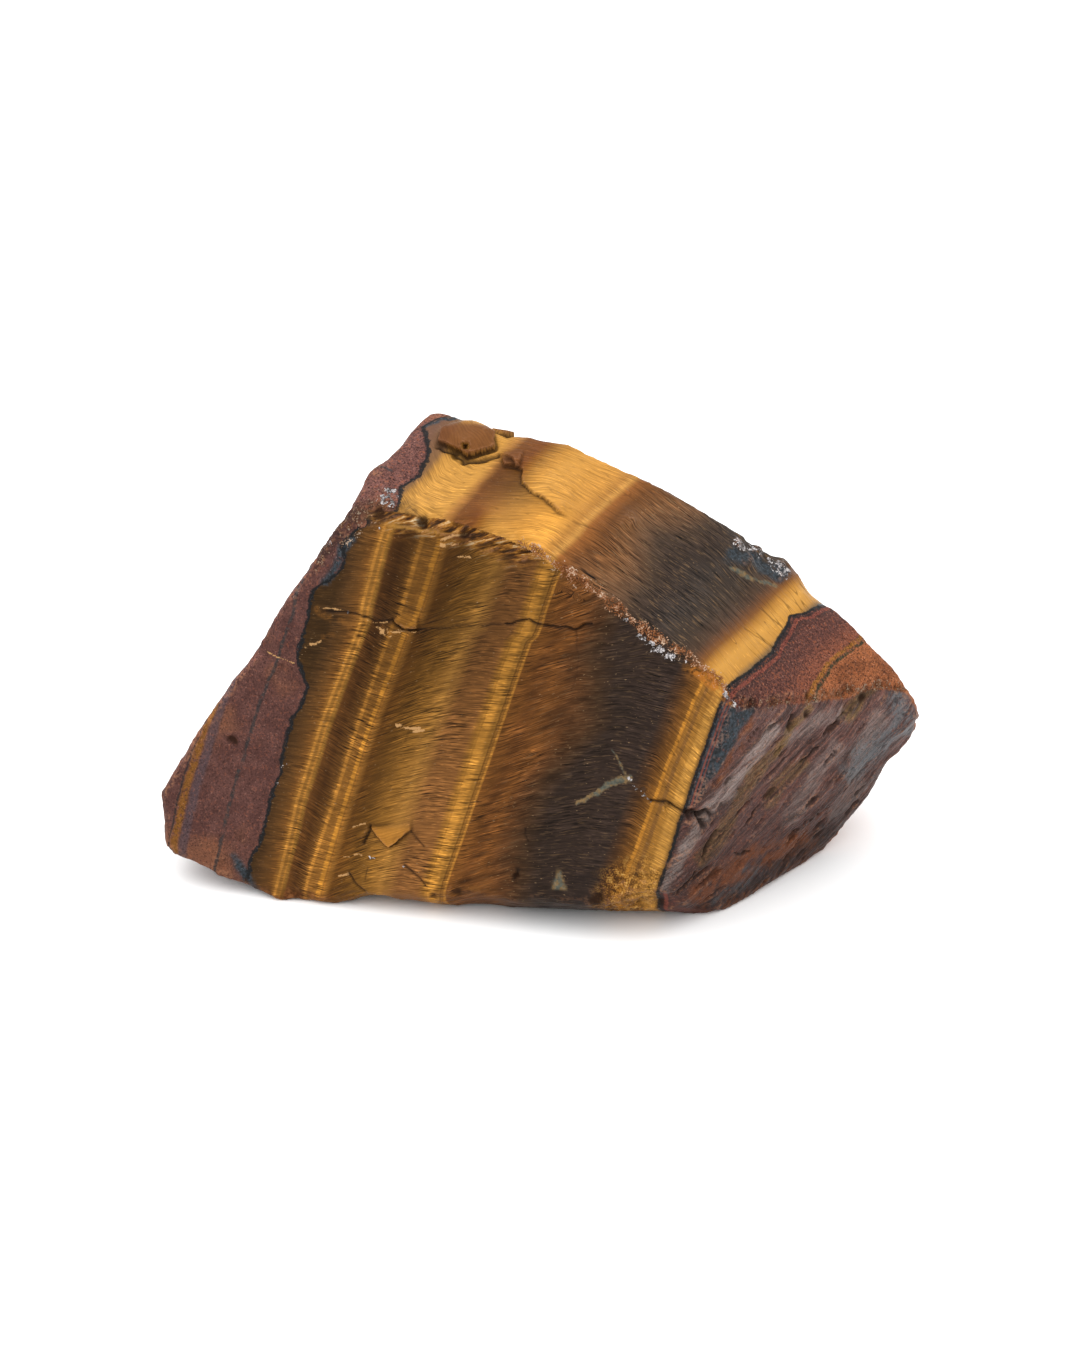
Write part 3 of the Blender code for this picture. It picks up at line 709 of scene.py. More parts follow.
def carve(place):
    # cracks, plates, hollows, lumps and the ledge; returns the height, the masks of the marks and the painted
    # shade beside the plates, in the hollows and below the ledge
    points, wander, topness = place["points"], place["wander"], place["topness"]
    height, crack, hollow, plate = (np.zeros(len(points)) for mask in range(4))
    for wide, deep, stray, line in grooves.values():
        reach = lineReach(points + wander * stray, line)[0]
        cut = np.exp(-(reach / wide) ** 2) * place["facing"]
        height -= deep * cut
        crack = np.maximum(crack, cut * min(1.0, deep / 0.16))
    for each in plates.values():
        above = each["seenFrom"] == "above"
        flat = facePlan(points, each)
        level = (points[:, 2] > stone["plateLevel"]) * topness if above else place["frontness"]
        inside = outlineReach(flat + wander[:, :2] * 0.5, each["outline"])
        low, high = np.array(each["rise"][0]), np.array(each["rise"][1])
        share = np.clip(((flat - low) @ (high - low)) / ((high - low) @ (high - low)), 0.0, 1.1)
        height += each["height"] * share * smoothStep(-0.08, 0.1, inside) * level
        painted = smoothStep(-0.05, 0.1, inside) * level * smoothStep(0.15, 0.5, share)
        plate = np.maximum(plate, each["paint"] * painted)
        # painted shadow just outside the raised edge of a plate
        shade = smoothStep(0.34, 0.05, -inside) * (inside < 0.04) * share * level
        hollow = np.maximum(hollow, shade * min(1.0, each["height"] / 0.5))
        height -= 0.4 * shade * each["height"]
    for middle, wide, deep in hollows:
        cut = np.exp(-(spotReach(points + wander * 1.5, middle) / wide) ** 2) * place["facing"]
        height -= deep * cut * (1.0 + 0.6 * place["coarse"])
        # painted shade in the hollow
        hollow = np.maximum(hollow, smoothStep(0.2, 0.7, cut))
    for middle, wide, high in lumps:
        stand = np.exp(-(spotReach(points + wander, middle) / wide) ** 2) * place["facing"]
        height += high * stand * (1.0 + 0.9 * place["coarse"])
    reach, along, side = lineReach(points + wander, lines["topLedge"])
    taper = window(along, 0.0, 0.08, 0.8, 1.0) * topness
    signed = reach * side
    fall = np.exp(-np.maximum(signed, 0.0) / 2.4)
    height += relief["ledge"] * taper * smoothStep(-0.07, 0.07, signed) * fall
    # painted shade on the low side of the ledge
    hollow = np.maximum(hollow, 0.7 * taper * smoothStep(-0.3, -0.03, signed) * (signed < 0.02))
    lowShelf = taper * smoothStep(0.1, -0.1, signed) * smoothStep(4.5, 2.8, reach)
    return height, crack, hollow, plate, lowShelf


def marks(place):
    # quartz, veins and stains, which are colour alone
    points, wander, gritty = place["points"], place["wander"], place["gritty"]
    stray = points + wander * 1.4
    crystal, vein = np.zeros(len(points)), np.zeros(len(points))
    for middle, wide in crystalSpots:
        spot = smoothStep(wide, wide * 0.5, spotReach(stray, middle))
        crystal = np.maximum(crystal, spot * smoothStep(-0.3, 0.1, gritty))
    for wide, line in crystalLines:
        streak = smoothStep(wide, wide * 0.5, lineReach(stray, line)[0])
        crystal = np.maximum(crystal, streak * smoothStep(-0.35, 0.1, gritty))
    for narrow, wide, line in veins:
        reach, along, side = lineReach(points + wander * 0.9, line)
        half = (narrow + (wide - narrow) * along) * (1.0 + 0.5 * gritty)
        vein = np.maximum(vein, smoothStep(1.0, 0.75, reach / half))
    wedge = outlineReach(points[:, ::2] + wander[:, ::2] * 0.5, paleWedge)
    vein = np.maximum(vein, smoothStep(-0.03, 0.1, wedge) * place["frontness"])
    masks = {"crystal": crystal, "vein": vein}
    for kind, entries in stains.items():
        mask = place["strip"] if kind == "steel" else np.zeros(len(points))
        for wide, strength, line in entries:
            reach = lineReach(points + wander * (0.35 if kind == "pale" else 1.0), line)[0]
            stain = smoothStep(wide, wide * 0.35, reach + 0.4 * wide * place["ragged"])
            mask = np.maximum(mask, strength * stain)
        masks[kind] = mask
    return {kind: mask * place["facing"] for kind, mask in masks.items()}


def paint(mesh, name, values):
    layer = mesh.attributes.new(name, "FLOAT", "POINT")
    layer.data.foreach_set("value", np.ascontiguousarray(values, dtype=np.float32))


def sculpt(piece):
    mesh = piece.data
    place = survey(mesh)
    points = place["points"]
    layer, z = place["layer"], points[:, 2]
    furrows, slits = sideRelief(place)
    edges, crumb, loose, foot, rim = edgeRelief(place)
    cuts, crack, hollow, plate, lowShelf = carve(place)
    height = fibreRelief(place) + jasperRelief(place) + furrows + edges + cuts
    height *= smoothStep(0.3, 1.0, z)  # nothing is carved into the seat
    moved = points + place["broad"] * height[:, None]
    moved[:, 2] = np.where(z < stone["seatHeight"], 0.0, np.maximum(moved[:, 2], 0.0))
    mesh.vertices.foreach_set("co", (moved / mmPerMetre).ravel())
    mesh.update()
    # how proud or sunken each point is, for worn edges and darker sunken places
    proud = np.einsum("ij,ij->i", moved - calm(moved, mesh, 4), place["broad"])
    ochreLine = place["straight"] - curveAt(points[:, 1], stone["ochreTop"])
    # painted light and shade: the front is darker at its head and lighter at its foot, the right face darker
    # at its foot
    glow = 1.0 - 0.36 * smoothStep(12.0, 24.0, z) * window(layer, 2.8, 3.4, 13.0, 18.0)
    glow += 0.25 * smoothStep(10.0, 3.0, z) * window(layer, 2.8, 3.4, 7.5, 8.5)
    glow += 0.16 * smoothStep(14.0, 9.0, z) * window(layer, 7.5, 8.5, 15.0, 21.0)
    sideways = place["sideness"] * smoothStep(0.9, -0.2, place["seamRight"])
    sideLightAndShade = 0.5 + 0.46 * smoothStep(1.0, 9.0, z) + 0.3 * smoothStep(9.0, 15.0, z)
    glow = np.where(place["seamRight"] < 0.0, sideLightAndShade, glow)
    kept = {name: place[name] for name in ("layer", "fibre", "topness", "seamLeft", "seamRight",
                                           "alongRun", "overRun", "leanRun", "leanOver")}
    kept |= {
        "sideness": sideways, "ochreLine": ochreLine, "crumb": crumb, "loose": loose, "foot": foot,
        # painted shade of the recesses, with the slits of the right face
        "rim": rim, "crack": crack, "hollow": np.maximum(hollow, 0.6 * slits), "plate": plate,
        "proud": proud, "glow": glow,
        "lowShelf": lowShelf, "shelfFade": smoothStep(1.0, -2.8, points[:, 1]), **marks(place),
    }
    for name, values in kept.items():
        paint(mesh, name, values)
    for face in mesh.polygons:
        face.use_smooth = True


roughStone = evenSkin(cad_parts["stone"])
refine(roughStone)
sculpt(roughStone)
print("stone shaped")


# Finishes

class Link:
    # a socket that adds up, multiplies and blends like a number
    def __init__(self, tree, socket=None):
        self.tree = tree
        self.socket = socket

    def node(self, kind, settings=None, inputs=None, output=0):
        made = self.tree.nodes.new(kind)
        for name, value in (settings or {}).items():
            if name == "stops":
                fillRamp(made.color_ramp, value)
            else:
                setattr(made, name, value)
        for name, value in (inputs or {}).items():
            if isinstance(value, Link):
                self.tree.links.new(value.socket, made.inputs[name])
            else:
                made.inputs[name].default_value = value
        return Link(self.tree, made.outputs[output])

    def math(self, operation, first, second=0.0, clamp=False):
        return self.node("ShaderNodeMath", {"operation": operation, "use_clamp": clamp},
                         {0: first, 1: second})

    def __add__(self, other):
        return self.math("ADD", self, other)

    def __radd__(self, other):
        return self.math("ADD", other, self)

    def __sub__(self, other):
        return self.math("SUBTRACT", self, other)

    def __rsub__(self, other):
        return self.math("SUBTRACT", other, self)

    def __mul__(self, other):
        return self.math("MULTIPLY", self, other)

    def __rmul__(self, other):
        return self.math("MULTIPLY", other, self)

    def __truediv__(self, other):
        return self.math("DIVIDE", self, other)

    def size(self):
        return self.math("ABSOLUTE", self)

    def most(self, other):
        return self.math("MAXIMUM", self, other)

    def step(self, low, high):
        # 0 below low, 1 above high, smooth between; the other way round where low is the greater
        if low > high:
            return 1.0 - self.step(high, low)
        return self.node("ShaderNodeMapRange", {"interpolation_type": "SMOOTHSTEP"},
                         {"Value": self, "From Min": low, "From Max": high})

    def around(self, place, half):
        # 1 on the place, falling to 0 at half either side
        return (self - place).size().step(half, half * 0.35)

    def blend(self, first, second):
        # this value as the share of the second colour
        return self.node("ShaderNodeMix", {"data_type": "RGBA"}, {0: self, 6: first, 7: second}, output=2)

    def scaled(self, amount):
        return self.node("ShaderNodeVectorMath", {"operation": "SCALE"}, {0: self, 3: amount})

    def ramp(self, stops):
        return self.node("ShaderNodeValToRGB", {"stops": stops}, {0: self})


def fillRamp(ramp, stops):
    while len(ramp.elements) > 1:
        ramp.elements.remove(ramp.elements[-1])
    for number, (place, colour) in enumerate(stops):
        stop = ramp.elements[0] if number == 0 else ramp.elements.new(place)
        stop.position = place
        stop.color = colour


def tone(code, strength=1.0):
    # a screen colour such as "a57038" as a paint colour, lightened or darkened by strength
    parts = [int(code[at:at + 2], 16) / 255.0 for at in (0, 2, 4)]
    paintParts = [part / 12.92 if part <= 0.04045 else ((part + 0.055) / 1.055) ** 2.4 for part in parts]
    return (*(part * strength for part in paintParts), 1.0)


finish = {
    "frontPaint": 0.7,  # lifts or lowers all colours of the front
    "topPaint": 0.62,  # the same on the top, which gets more light
    "jasperPaint": 0.74,
    "bandSpan": 32.0,  # mm across the layers that the bands cover
    # broad bands of the front, by distance across the layers
    "frontBands": (
        (0.0, "3d2913"), (0.6, "4b3219"), (1.4, "5f3e1c"), (1.9, "70481e"), (2.1, "8a5c26"), (3.0, "865d26"),
        (3.25, "5c3918"), (3.9, "4a2d12"), (4.6, "5c3b18"), (4.9, "805522"), (6.5, "805522"), (6.9, "5a3813"),
        (8.0, "5e3d15"), (9.6, "805722"), (10.4, "92652c"), (11.1, "8a5f2c"), (11.8, "764d27"),
        (13.5, "7f532a"), (14.0, "8e6026"), (15.2, "8a5f26"), (15.7, "6c431b"), (17.0, "623b1a"),
        (18.3, "69401c"), (19.3, "58361b"), (21.2, "402c1c"), (22.4, "31251e"),
        (26.4, "342822"), (27.2, "49301c"), (28.0, "6c451c"), (28.6, "8c5e27"),
        (29.7, "9c6c2d"), (31.0, "6c4e28"),
    ),
    # thin lines of the front: place, half width, colour, strength
    "frontLines": (
        (2.32, 0.17, "b07832", 0.8), (2.78, 0.13, "a8712e", 0.65), (5.05, 0.2, "a9722e", 0.8),
        (5.55, 0.12, "7a4f1e", 0.6), (6.0, 0.24, "b2782b", 0.85), (6.32, 0.1, "a06826", 0.4),
        (10.6, 0.3, "a37433", 0.3), (14.5, 0.55, "b98033", 0.8), (14.2, 0.09, "8a5b23", 0.5),
        (15.28, 0.09, "5f3d16", 0.75), (15.6, 0.13, "b07830", 0.65), (28.5, 0.2, "b97c2d", 0.85),
        (29.15, 0.24, "684728", 0.6), (30.25, 0.55, "c08a3e", 0.85), (30.82, 0.09, "8d6026", 0.5),
    ),
    # painted light: the bands of the top, a lighter copy of the front's, for the stronger light and chatoyant
    # shine on the top
    "litTopBands": (
        (0.0, "7d5945"), (1.7, "8a6440"), (2.2, "c08a40"), (2.8, "d49a48"), (5.7, "d69b48"), (6.4, "b57c3c"),
        (7.0, "7c4c24"), (8.3, "7d481e"), (8.8, "925c20"), (9.4, "b07a34"), (10.1, "cf9240"),
        (10.8, "dea04a"),
        (13.8, "da9a46"), (14.6, "bc823c"), (15.1, "d0964a"), (15.55, "9a5f2c"), (16.6, "6f4522"),
        (18.4, "7d5534"), (20.0, "684a33"), (21.2, "4a392c"), (22.4, "3c2f27"), (24.7, "3c332d"),
        (26.6, "43362c"), (27.6, "553f30"), (28.1, "6f4a30"), (28.5, "8a592c"), (29.0, "c0863a"),
        (29.6, "dea24c"), (30.6, "cf9544"), (31.0, "8a6a44"),
    ),
    "lowShelf": ((7.0, "6c411c"), (8.6, "70481f"), (10.0, "835a26"), (12.0, "98692a"), (13.6, "b57f34"),
                 (15.0, "b57c36")),  # the step of the top that lies lower than the ledge
    "seam": "1d1e1f",
    # colour of the painted glints on the seam
    "seamGlint": "4a5155",
    "redLine": "84463a",
    "leftJasper": ("60403a", "523530", "744b38"),
    "topJasper": ("5c3a33", "784736", "965a38"),
    "sideJasper": ("573f3b", "43312d", "66433a"),
    "rustGrain": "9a5634",
    "darkGrain": "2c1c19",
    "paleJasper": "b98c78",
    "steel": "4b555d",
    "purple": "4f4043",
    # colour of the painted sheen on the right face
    "sheen": "8b7d77",
    "greyStreak": "62676a",
    "ochre": "735934",
    "rust": "75442a",
    "orangeOchre": "8a5a28",
    "orange": "cc7d2c",
    # dark threads of the right face, and the colour of the painted shade along its foot
    "lowDark": "2e2420",
    "crack": "1d120b",
    "pink": "b4805f",
    "quartz": "cdc5c1",
    "veinGrey": "6a6c60",
    "veinTan": "927650",
    # colour of the painted glints on the silk
    "glintSpeck": "b8966e",
    "tanHair": "8a6c4c",
    "plate": "84502c",
    "pale": "d3a26a",
    # colour of the painted shade in recesses
    "under": "24150c",
    "fibreContrast": 1.0,
    "bandFeather": 0.3,
    "bumpFibre": 0.55,
    "bumpGrain": 0.55,
}


def shades(codes, strength):
    return [tone(code, strength) for code in codes]


def dye(name, strength=1.0):
    return tone(finish[name], strength)


def bandStops(bands, strength):
    return [(place / finish["bandSpan"], tone(code, strength)) for place, code in bands]


def makeStoneFinish():
    look = bpy.data.materials.new("tigersEyeAndJasper")
    look.use_nodes = True
    tree = look.node_tree
    shader = tree.nodes["Principled BSDF"]
    start = Link(tree)

    def kept(name):
        return start.node("ShaderNodeAttribute", {"attribute_name": name}, output=2)

    def grainAt(vector, size, detail=2.0, rough=0.5):
        return start.node("ShaderNodeTexNoise", {}, {
            "Vector": vector, "Scale": size, "Detail": detail, "Roughness": rough})

    def strandsAt(along, across, third, detail=2.0, rough=0.55):
        where = start.node("ShaderNodeCombineXYZ", {}, {0: along, 1: across, 2: third})
        return grainAt(where, 1.0, detail, rough)

    place = start.node("ShaderNodeTexCoord", {}, output=3).scaled(mmPerMetre)  # object coordinates in mm
    layer, fibre, topness, glow = kept("layer"), kept("fibre"), kept("topness"), kept("glow")
    sideness, seamLeft, seamRight = kept("sideness"), kept("seamLeft"), kept("seamRight")
    crumb, loose, crack, hollow = kept("crumb"), kept("loose"), kept("crack"), kept("hollow")
    plate, crystal, vein, proud = kept("plate"), kept("crystal"), kept("vein"), kept("proud")
    steel = kept("steel")
    alongRun, overRun = kept("alongRun"), kept("overRun")

    # fibre patterns run across the layers; grain patterns fill the stone evenly
    shelf = topness * 9.0
    drift = strandsAt(layer * 0.12, fibre * 0.2, shelf + 8.0, 0.0)
    bent = fibre + (drift - 0.5) * 1.6
    strand = strandsAt(layer * (0.45 - topness * 0.1), bent * 6.8, shelf, 2.0, 0.6)
    hair = strandsAt(layer * (0.9 - topness * 0.2), bent * 13.0, shelf + 4.0, 1.0, 0.6)
    sweep = strandsAt(layer * 0.45, bent * 1.2, shelf + 11.0, 2.0)
    patch = grainAt(place, 0.16, 3.0)
    mottle = grainAt(place, 0.7, 4.0, 0.6)
    sand = grainAt(place, 4.2, 2.0, 0.6)
    dust = grainAt(place, 8.5, 1.0)
    grit = grainAt(place, 1.9, 3.0, 0.65)

    # the bands: layer distance, feathered fibre by fibre
    darkZone = layer.step(16.0, 18.0) * layer.step(28.5, 26.0)
    feather = (strand - 0.5) * finish["bandFeather"] + (hair - 0.5) * 0.3
    darkHeart = layer.step(15.5, 19.0) * layer.step(27.0, 24.0)
    felt = layer + feather * (1.0 + darkHeart * 2.8) + (drift - 0.5) * (0.25 + darkHeart * 4.0)
    across = felt / finish["bandSpan"]
    front = across.ramp(bandStops(finish["frontBands"], finish["frontPaint"]))
    # painted light: the top takes the lighter copy of the bands
    top = across.ramp(bandStops(finish["litTopBands"], finish["topPaint"]))
    low = across.ramp(bandStops(finish["lowShelf"], finish["topPaint"]))
    top = kept("lowShelf").blend(top, low.scaled(1.0 + kept("shelfFade") * 1.1))
    thin = layer + (strand - 0.5) * 0.22 + (hair - 0.5) * 0.2 + (drift - 0.5) * 0.1
    lively = 0.95 + (strand - 0.5) * 1.6 + (sweep - 0.5) * 1.2
    for at, half, code, strength in finish["frontLines"]:
        mask = thin.around(at, half) * (lively * strength)
        front = mask.blend(front, tone(code, finish["frontPaint"]))
    brownZone = layer.step(15.8, 16.8) * layer.step(23.0, 20.0)
    # painted light and shade on the front, taken from the sculpt's attribute
    front = front.scaled(glow * (1.0 + (sweep - 0.5) * (0.7 + brownZone * 1.4)))
    silk = topness.blend(front, top)

    # light and dark strands
    contrast = (strand.step(0.34, 0.66) - 0.5) * 0.6 + (hair.step(0.34, 0.66) - 0.5) * 0.7
    calmTop = topness * (0.55 - darkZone * 0.9)
    calmRims = layer.step(2.0, 1.4) * 0.45 + layer.step(27.6, 28.4) * 0.5
    calmPatch = grainAt(place, 0.33, 2.0).step(0.36, 0.62) * 0.9 + 0.5
    contrast = contrast * (1.0 - calmTop - calmRims) * (0.95 + (sweep - 0.5) * 1.6) * finish["fibreContrast"]
    contrast = contrast * calmPatch
    silk = silk.scaled(1.0 + contrast + (mottle - 0.5) * 0.3)
    lightHair = strandsAt(layer * 1.5, bent * 7.0, shelf + 21.0, 1.0).step(0.62, 0.72)
    silk = (lightHair * (0.55 - topness * 0.25)).blend(silk, silk.scaled(2.1))
    tanHair = strandsAt(layer * 0.9, bent * 8.0, shelf + 27.0, 2.0).step(0.56, 0.7) * darkZone
    silk = (tanHair * (0.3 + topness * 0.4)).blend(silk, dye("tanHair", 0.6))
    hairline = strandsAt(layer * 0.22, bent * 1.5, shelf + 51.0, 0.0).around(0.5, 0.016)
    silk = (hairline * (0.3 + layer.step(28.0, 28.5) * 0.35)).blend(silk, silk.scaled(0.3))
    darkHair = strandsAt(layer * (0.7 - topness * 0.35), bent * 6.0, shelf + 13.0, 1.0).step(0.4, 0.3)
    silk = (darkHair * (0.32 - calmRims * 0.3)).blend(silk, silk.scaled(0.36))
    # painted glints: tiny bright specks over the silk, more of them in the dark zone
    fleck = strandsAt(layer * 3.0, bent * 9.0, shelf + 31.0, 1.0)
    glintSpeckMask = fleck.step(0.68, 0.76) * grit.step(0.44, 0.6)
    silk = (glintSpeckMask * (0.45 + darkZone * 0.2)).blend(silk, dye("glintSpeck", 0.66))

    # jasper on the left flank
    jasperPaint = finish["jasperPaint"]
    wavy = layer + (mottle - 0.5) * 0.5
    leftTones = shades(finish["leftJasper"], jasperPaint)
    left = mottle.step(0.35, 0.65).blend(leftTones[0], leftTones[1])
    left = patch.step(0.5, 0.7).blend(left, leftTones[2])
    left = (wavy.around(-2.85, 0.2) * grit.step(0.3, 0.5) * 0.8).blend(left, tone("343434", jasperPaint))
    left = (wavy.around(-5.75, 0.55) * 0.8).blend(left, dye("purple", jasperPaint))
    left = (wavy.around(-6.5, 0.45) * grit.step(0.3, 0.5)).blend(left, dye("orangeOchre", 0.55))
    left = (wavy.around(-6.95, 0.12) * 0.8).blend(left, tone("2f2b29", jasperPaint))
    # painted light: the left jasper is lighter where it faces up
    left = left.scaled(1.0 + topness * 0.65)

    # jasper on the right of the top, with its steely rim and wavy ochre line
    upperTones = shades(finish["topJasper"], jasperPaint)
    wavySeam = seamRight * -1.0 + (mottle - 0.5) * 0.3
    wavyOchre = kept("ochreLine") + (mottle - 0.5) * 0.4
    upper = wavyOchre.step(-2.2, -0.6).blend(upperTones[0], upperTones[1])
    upper = wavyOchre.step(-0.1, 0.3).blend(upper, upperTones[2])
    upper = (wavySeam.step(1.25, 0.4) * grit.step(0.32, 0.5) * 0.8).blend(upper, dye("seam", 1.1))
    upper = (wavySeam.around(0.5, 0.2) * 0.75).blend(upper, dye("redLine", 0.7))
    upper = (wavyOchre.around(-0.18, 0.24) * grit.step(0.3, 0.5)).blend(upper, dye("orangeOchre", 0.75))
    upper = (wavyOchre.around(0.14, 0.2) * grit.step(0.36, 0.52)).blend(upper, tone("3c3a28", 0.7))

    # jasper of the right face, drawn out along its furrows
    sideTones = shades(finish["sideJasper"], jasperPaint)
    bentRun = overRun + (patch - 0.5) * 1.6
    broad = strandsAt(alongRun * 0.12, bentRun * 0.8, 3.0, 3.0)
    streak = strandsAt(alongRun * 0.25, bentRun * 2.2, 5.0, 3.0, 0.6)
    thread = strandsAt(alongRun * 0.6, bentRun * 6.0, 7.0, 2.0, 0.6)
    side = broad.step(0.36, 0.62).blend(sideTones[1], sideTones[0])
    side = streak.step(0.46, 0.66).blend(side, sideTones[2])
    # painted sheen on the right face: along its threads, and where the sheen marks lie
    side = (thread.step(0.5, 0.7) * streak.step(0.4, 0.62) * 0.45).blend(side, dye("sheen", 0.62))
    side = (thread.step(0.46, 0.3) * 0.55).blend(side, dye("lowDark", 0.8))
    paintedSheenMask = kept("sheen") * (0.35 + streak.step(0.32, 0.56) * 0.65) * (0.6 + thread.step(0.35, 0.6) * 0.4)
    side = paintedSheenMask.blend(side, dye("sheen", 0.66))
    ochreMask = kept("ochre") * (thread.step(0.36, 0.6) * 0.5 + streak.step(0.34, 0.56) * 0.5)
    side = ochreMask.blend(side, dye("ochre", 0.6))
    side = (kept("grey") * streak.step(0.34, 0.56) * 0.8).blend(side, dye("greyStreak", 0.66))
    # painted light and shade on the right face: darker towards its foot
    side = side.scaled(glow * (1.0 + (streak - 0.5) * 0.5 + (thread - 0.5) * 0.6))
    right = (topness.most(1.0 - sideness)).blend(side, upper)
    jasper = seamLeft.step(0.0, 1.0).blend(left, right)
    jasper = (kept("rust") * mottle.step(0.35, 0.5) * 0.85).blend(jasper, dye("rust", 0.62))

    # sandy grains of three colours
    grainy = 1.0 - sideness * 0.15 + topness * 1.0
    jasper = jasper.scaled(1.0 + ((sand - 0.5) * 1.1 + (dust - 0.5) * 0.9) * grainy)
    jasper = (sand.step(0.56, 0.68) * (0.25 + topness * 0.4)).blend(jasper, dye("rustGrain", 0.66))
    jasper = (dust.step(0.4, 0.3) * grainy * 0.6).blend(jasper, dye("darkGrain"))
    jasper = (dust.step(0.68, 0.76) * (0.3 + topness * 0.4)).blend(jasper, dye("paleJasper", 0.7))
    metal = sand.step(0.3, 0.8).blend(dye("seam", 1.2), dye("steel", 0.6))
    # painted glints: pale specks on the steely metal
    metal = (dust.step(0.68, 0.76) * 0.4).blend(metal, tone("9aa4ad", 0.66))

    # where silk meets jasper: a dark steely seam
    isSilk = seamLeft.step(-0.05, 0.08) * seamRight.step(-0.05, 0.08)
    colour = isSilk.blend(jasper, silk)
    facet = kept("rust") * isSilk * (grit.step(0.4, 0.6) * 0.5 + hair.step(0.4, 0.6) * 0.3)
    colour = facet.blend(colour, dye("orangeOchre", 0.66))
    # dark stains, and painted shade along the foot of the right face
    colour = (kept("dark") * (0.55 + (grit - 0.5) * 1.4)).blend(colour, dye("lowDark", 0.6))
    colour = (steel * grit.step(0.25, 0.45)).blend(colour, metal)
    redEdge = layer.around(31.26, 0.1).most(layer.around(31.5, 0.08) * 0.7) * (1.0 - topness) * steel
    colour = (redEdge * grit.step(0.3, 0.5) * 0.75).blend(colour, dye("redLine", 0.7))
    seamWander = (grit - 0.5) * 0.7 + (sand - 0.5) * 0.3
    seamWide = (mottle - 0.5) * 0.3 + 0.22
    seamLeftMask = ((seamLeft + seamWander).size() / seamWide.most(0.1)).step(1.0, 0.4)
    seamMask = seamLeftMask.most((seamRight + seamWander * 0.4).around(0.0, 0.17))
    # painted glints along the seam
    seamColour = dust.step(0.6, 0.78).blend(dye("seam", 0.7), dye("seamGlint", 0.5))
    colour = (seamMask * 0.95).blend(colour, seamColour)

    # broken places: a spray of pale chips along the ridge, splinters below it, veins and quartz
    chips = (dust - 0.5) * 0.9 + (grit - 0.5) * 1.1 + 0.5
    crumbTone = chips.ramp([(0.3, tone("1c0f07")), (0.42, tone("4c2a16", 0.8)), (0.52, tone("854e27", 0.7)),
                            (0.62, tone("a8704c", 0.62)), (0.76, tone("dcbfa4", 0.66))])
    crumbMask = (crumb * 0.62 + (chips - 0.5) * 1.6 + (mottle - 0.5) * 1.4).step(0.42, 0.62)
    colour = (crumbMask * crumb.step(0.02, 0.3) * 0.92).blend(colour, crumbTone.scaled(0.45 + isSilk * 0.5))
    splinter = strandsAt(kept("leanRun") * 0.5, kept("leanOver") * 3.4, 2.0, 3.0, 0.65)
    looseTone = splinter.ramp([(0.36, tone("180c05")), (0.44, tone("3c220d")), (0.5, tone("7a4c1a", 0.8)),
                               (0.58, tone("b07a35", 0.85)), (0.66, tone("dcc096", 0.85))])
    colour = (loose * 0.85).blend(colour, looseTone.scaled(1.0 + (dust - 0.5) * 0.8))
    footTone = chips.ramp([(0.3, tone("150b05")), (0.42, tone("4a2c10", 0.8)), (0.52, tone("8a5a22", 0.75)),
                           (0.64, tone("c08a3c", 0.75)), (0.8, tone("e3b466", 0.75))])
    colour = (kept("foot") * (0.5 + (mottle - 0.5) * 1.6)).blend(colour, footTone)
    colour = (kept("orange") * grit.step(0.35, 0.55) * 0.8).blend(colour, dye("orange", 0.62))
    rimTone = grit.ramp([(0.36, tone("20100a")), (0.5, tone("5a3018", 0.8)), (0.64, tone("8f5a34", 0.8))])
    colour = (kept("rim") * mottle.step(0.3, 0.55) * 0.7).blend(colour, rimTone)
    plateTone = topness.blend(tone("b0762e", 0.74), dye("plate", 0.52))
    colour = (plate * 0.92).blend(colour, plateTone.scaled(1.0 + (strand - 0.5) * 0.7 + (grit - 0.5) * 0.5))
    veinTone = grit.step(0.4, 0.6).blend(dye("veinGrey", 0.56), dye("veinTan", 0.52))
    colour = (vein * 0.88).blend(colour, veinTone.scaled(1.0 + (sand - 0.5) * 1.4 + (grit - 0.5) * 0.8))
    crystalTone = chips.ramp([(0.34, tone("2f2c2c")), (0.48, tone("6c6866", 0.7)),
                              (0.62, tone("9f9b9d", 0.8)), (0.8, dye("quartz", 0.9))])
    crystalMask = (crystal * 0.8 + (chips - 0.5) * 1.5 + (splinter - 0.5) * 1.5).step(0.5, 0.72)
    colour = (crystalMask * crystal.step(0.0, 0.25)).blend(colour, crystalTone)
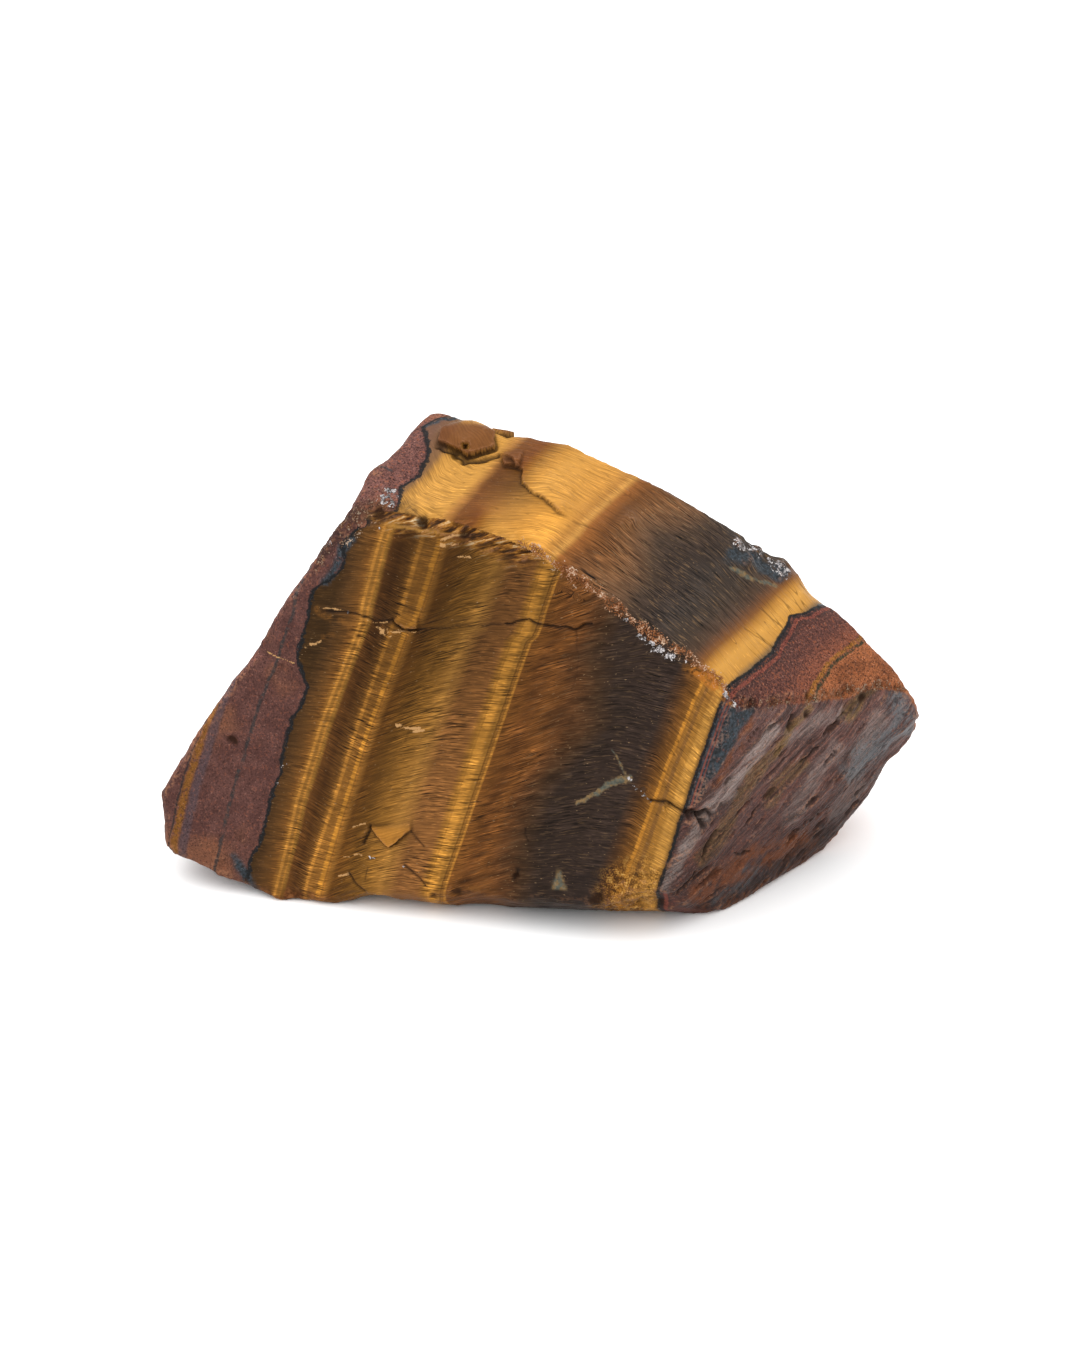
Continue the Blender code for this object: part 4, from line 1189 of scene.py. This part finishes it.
    paleMask = (kept("pale") * 0.9 + (chips - 0.5) * 1.1 + (splinter - 0.5) * 2.4).step(0.45, 0.85)
    colour = (paleMask * kept("pale").step(0.0, 0.5) * 0.85).blend(colour, dye("pale", 0.62))
    worn = proud.step(0.02, 0.1) * (1.0 - isSilk * 0.5)
    colour = (worn * sand.step(0.4, 0.6) * 0.45).blend(colour, dye("pink", 0.7))
    # darker in sunken places
    sunkenDark = (proud * -1.0).step(0.03, 0.14)
    colour = (sunkenDark * 0.6).blend(colour, colour.scaled(0.35))
    colour = (crack * 0.9).blend(colour, dye("crack"))
    # painted shade in recesses: beside the plates, in hollows and slits, and below the ledge
    colour = (hollow * 0.85).blend(colour, dye("under"))

    # shine and fine bumps
    silkShine = 0.42 - (strand - 0.5) * 0.3 + (mottle - 0.5) * 0.2
    jasperShine = 0.6 + (sand - 0.5) * 0.3 - sideness * 0.2
    rough = isSilk * silkShine + (1.0 - isSilk) * jasperShine
    rough = rough + crumb * 0.2 + hollow * 0.3 - (seamMask + steel) * 0.15
    fibreBump = (strand - 0.5) * 0.045 + (hair - 0.5) * 0.022
    grainBump = (sand - 0.5) * 0.045 + (dust - 0.5) * 0.018 + (mottle - 0.5) * 0.06
    streakBump = (streak - 0.5) * 0.16 + (thread - 0.5) * 0.07
    lift = (isSilk * (1.0 - crumb) * fibreBump * finish["bumpFibre"]
            + (1.0 - isSilk * 0.75) * grainBump * finish["bumpGrain"] + sideness * streakBump
            + crumb * (chips - 0.5) * 0.12 + loose * (splinter - 0.5) * 0.2)
    bump = start.node("ShaderNodeBump", {}, {"Strength": 1.0, "Distance": 0.001, "Height": lift})
    tree.links.new(colour.socket, shader.inputs["Base Color"])
    tree.links.new(rough.math("MULTIPLY", rough, 1.0, clamp=True).socket, shader.inputs["Roughness"])
    tree.links.new(bump.socket, shader.inputs["Normal"])
    shader.inputs["Specular IOR Level"].default_value = 0.05
    return look


roughStone.data.materials.clear()
roughStone.data.materials.append(makeStoneFinish())
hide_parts("stone")
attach(roughStone, "root")
print("stone finished")
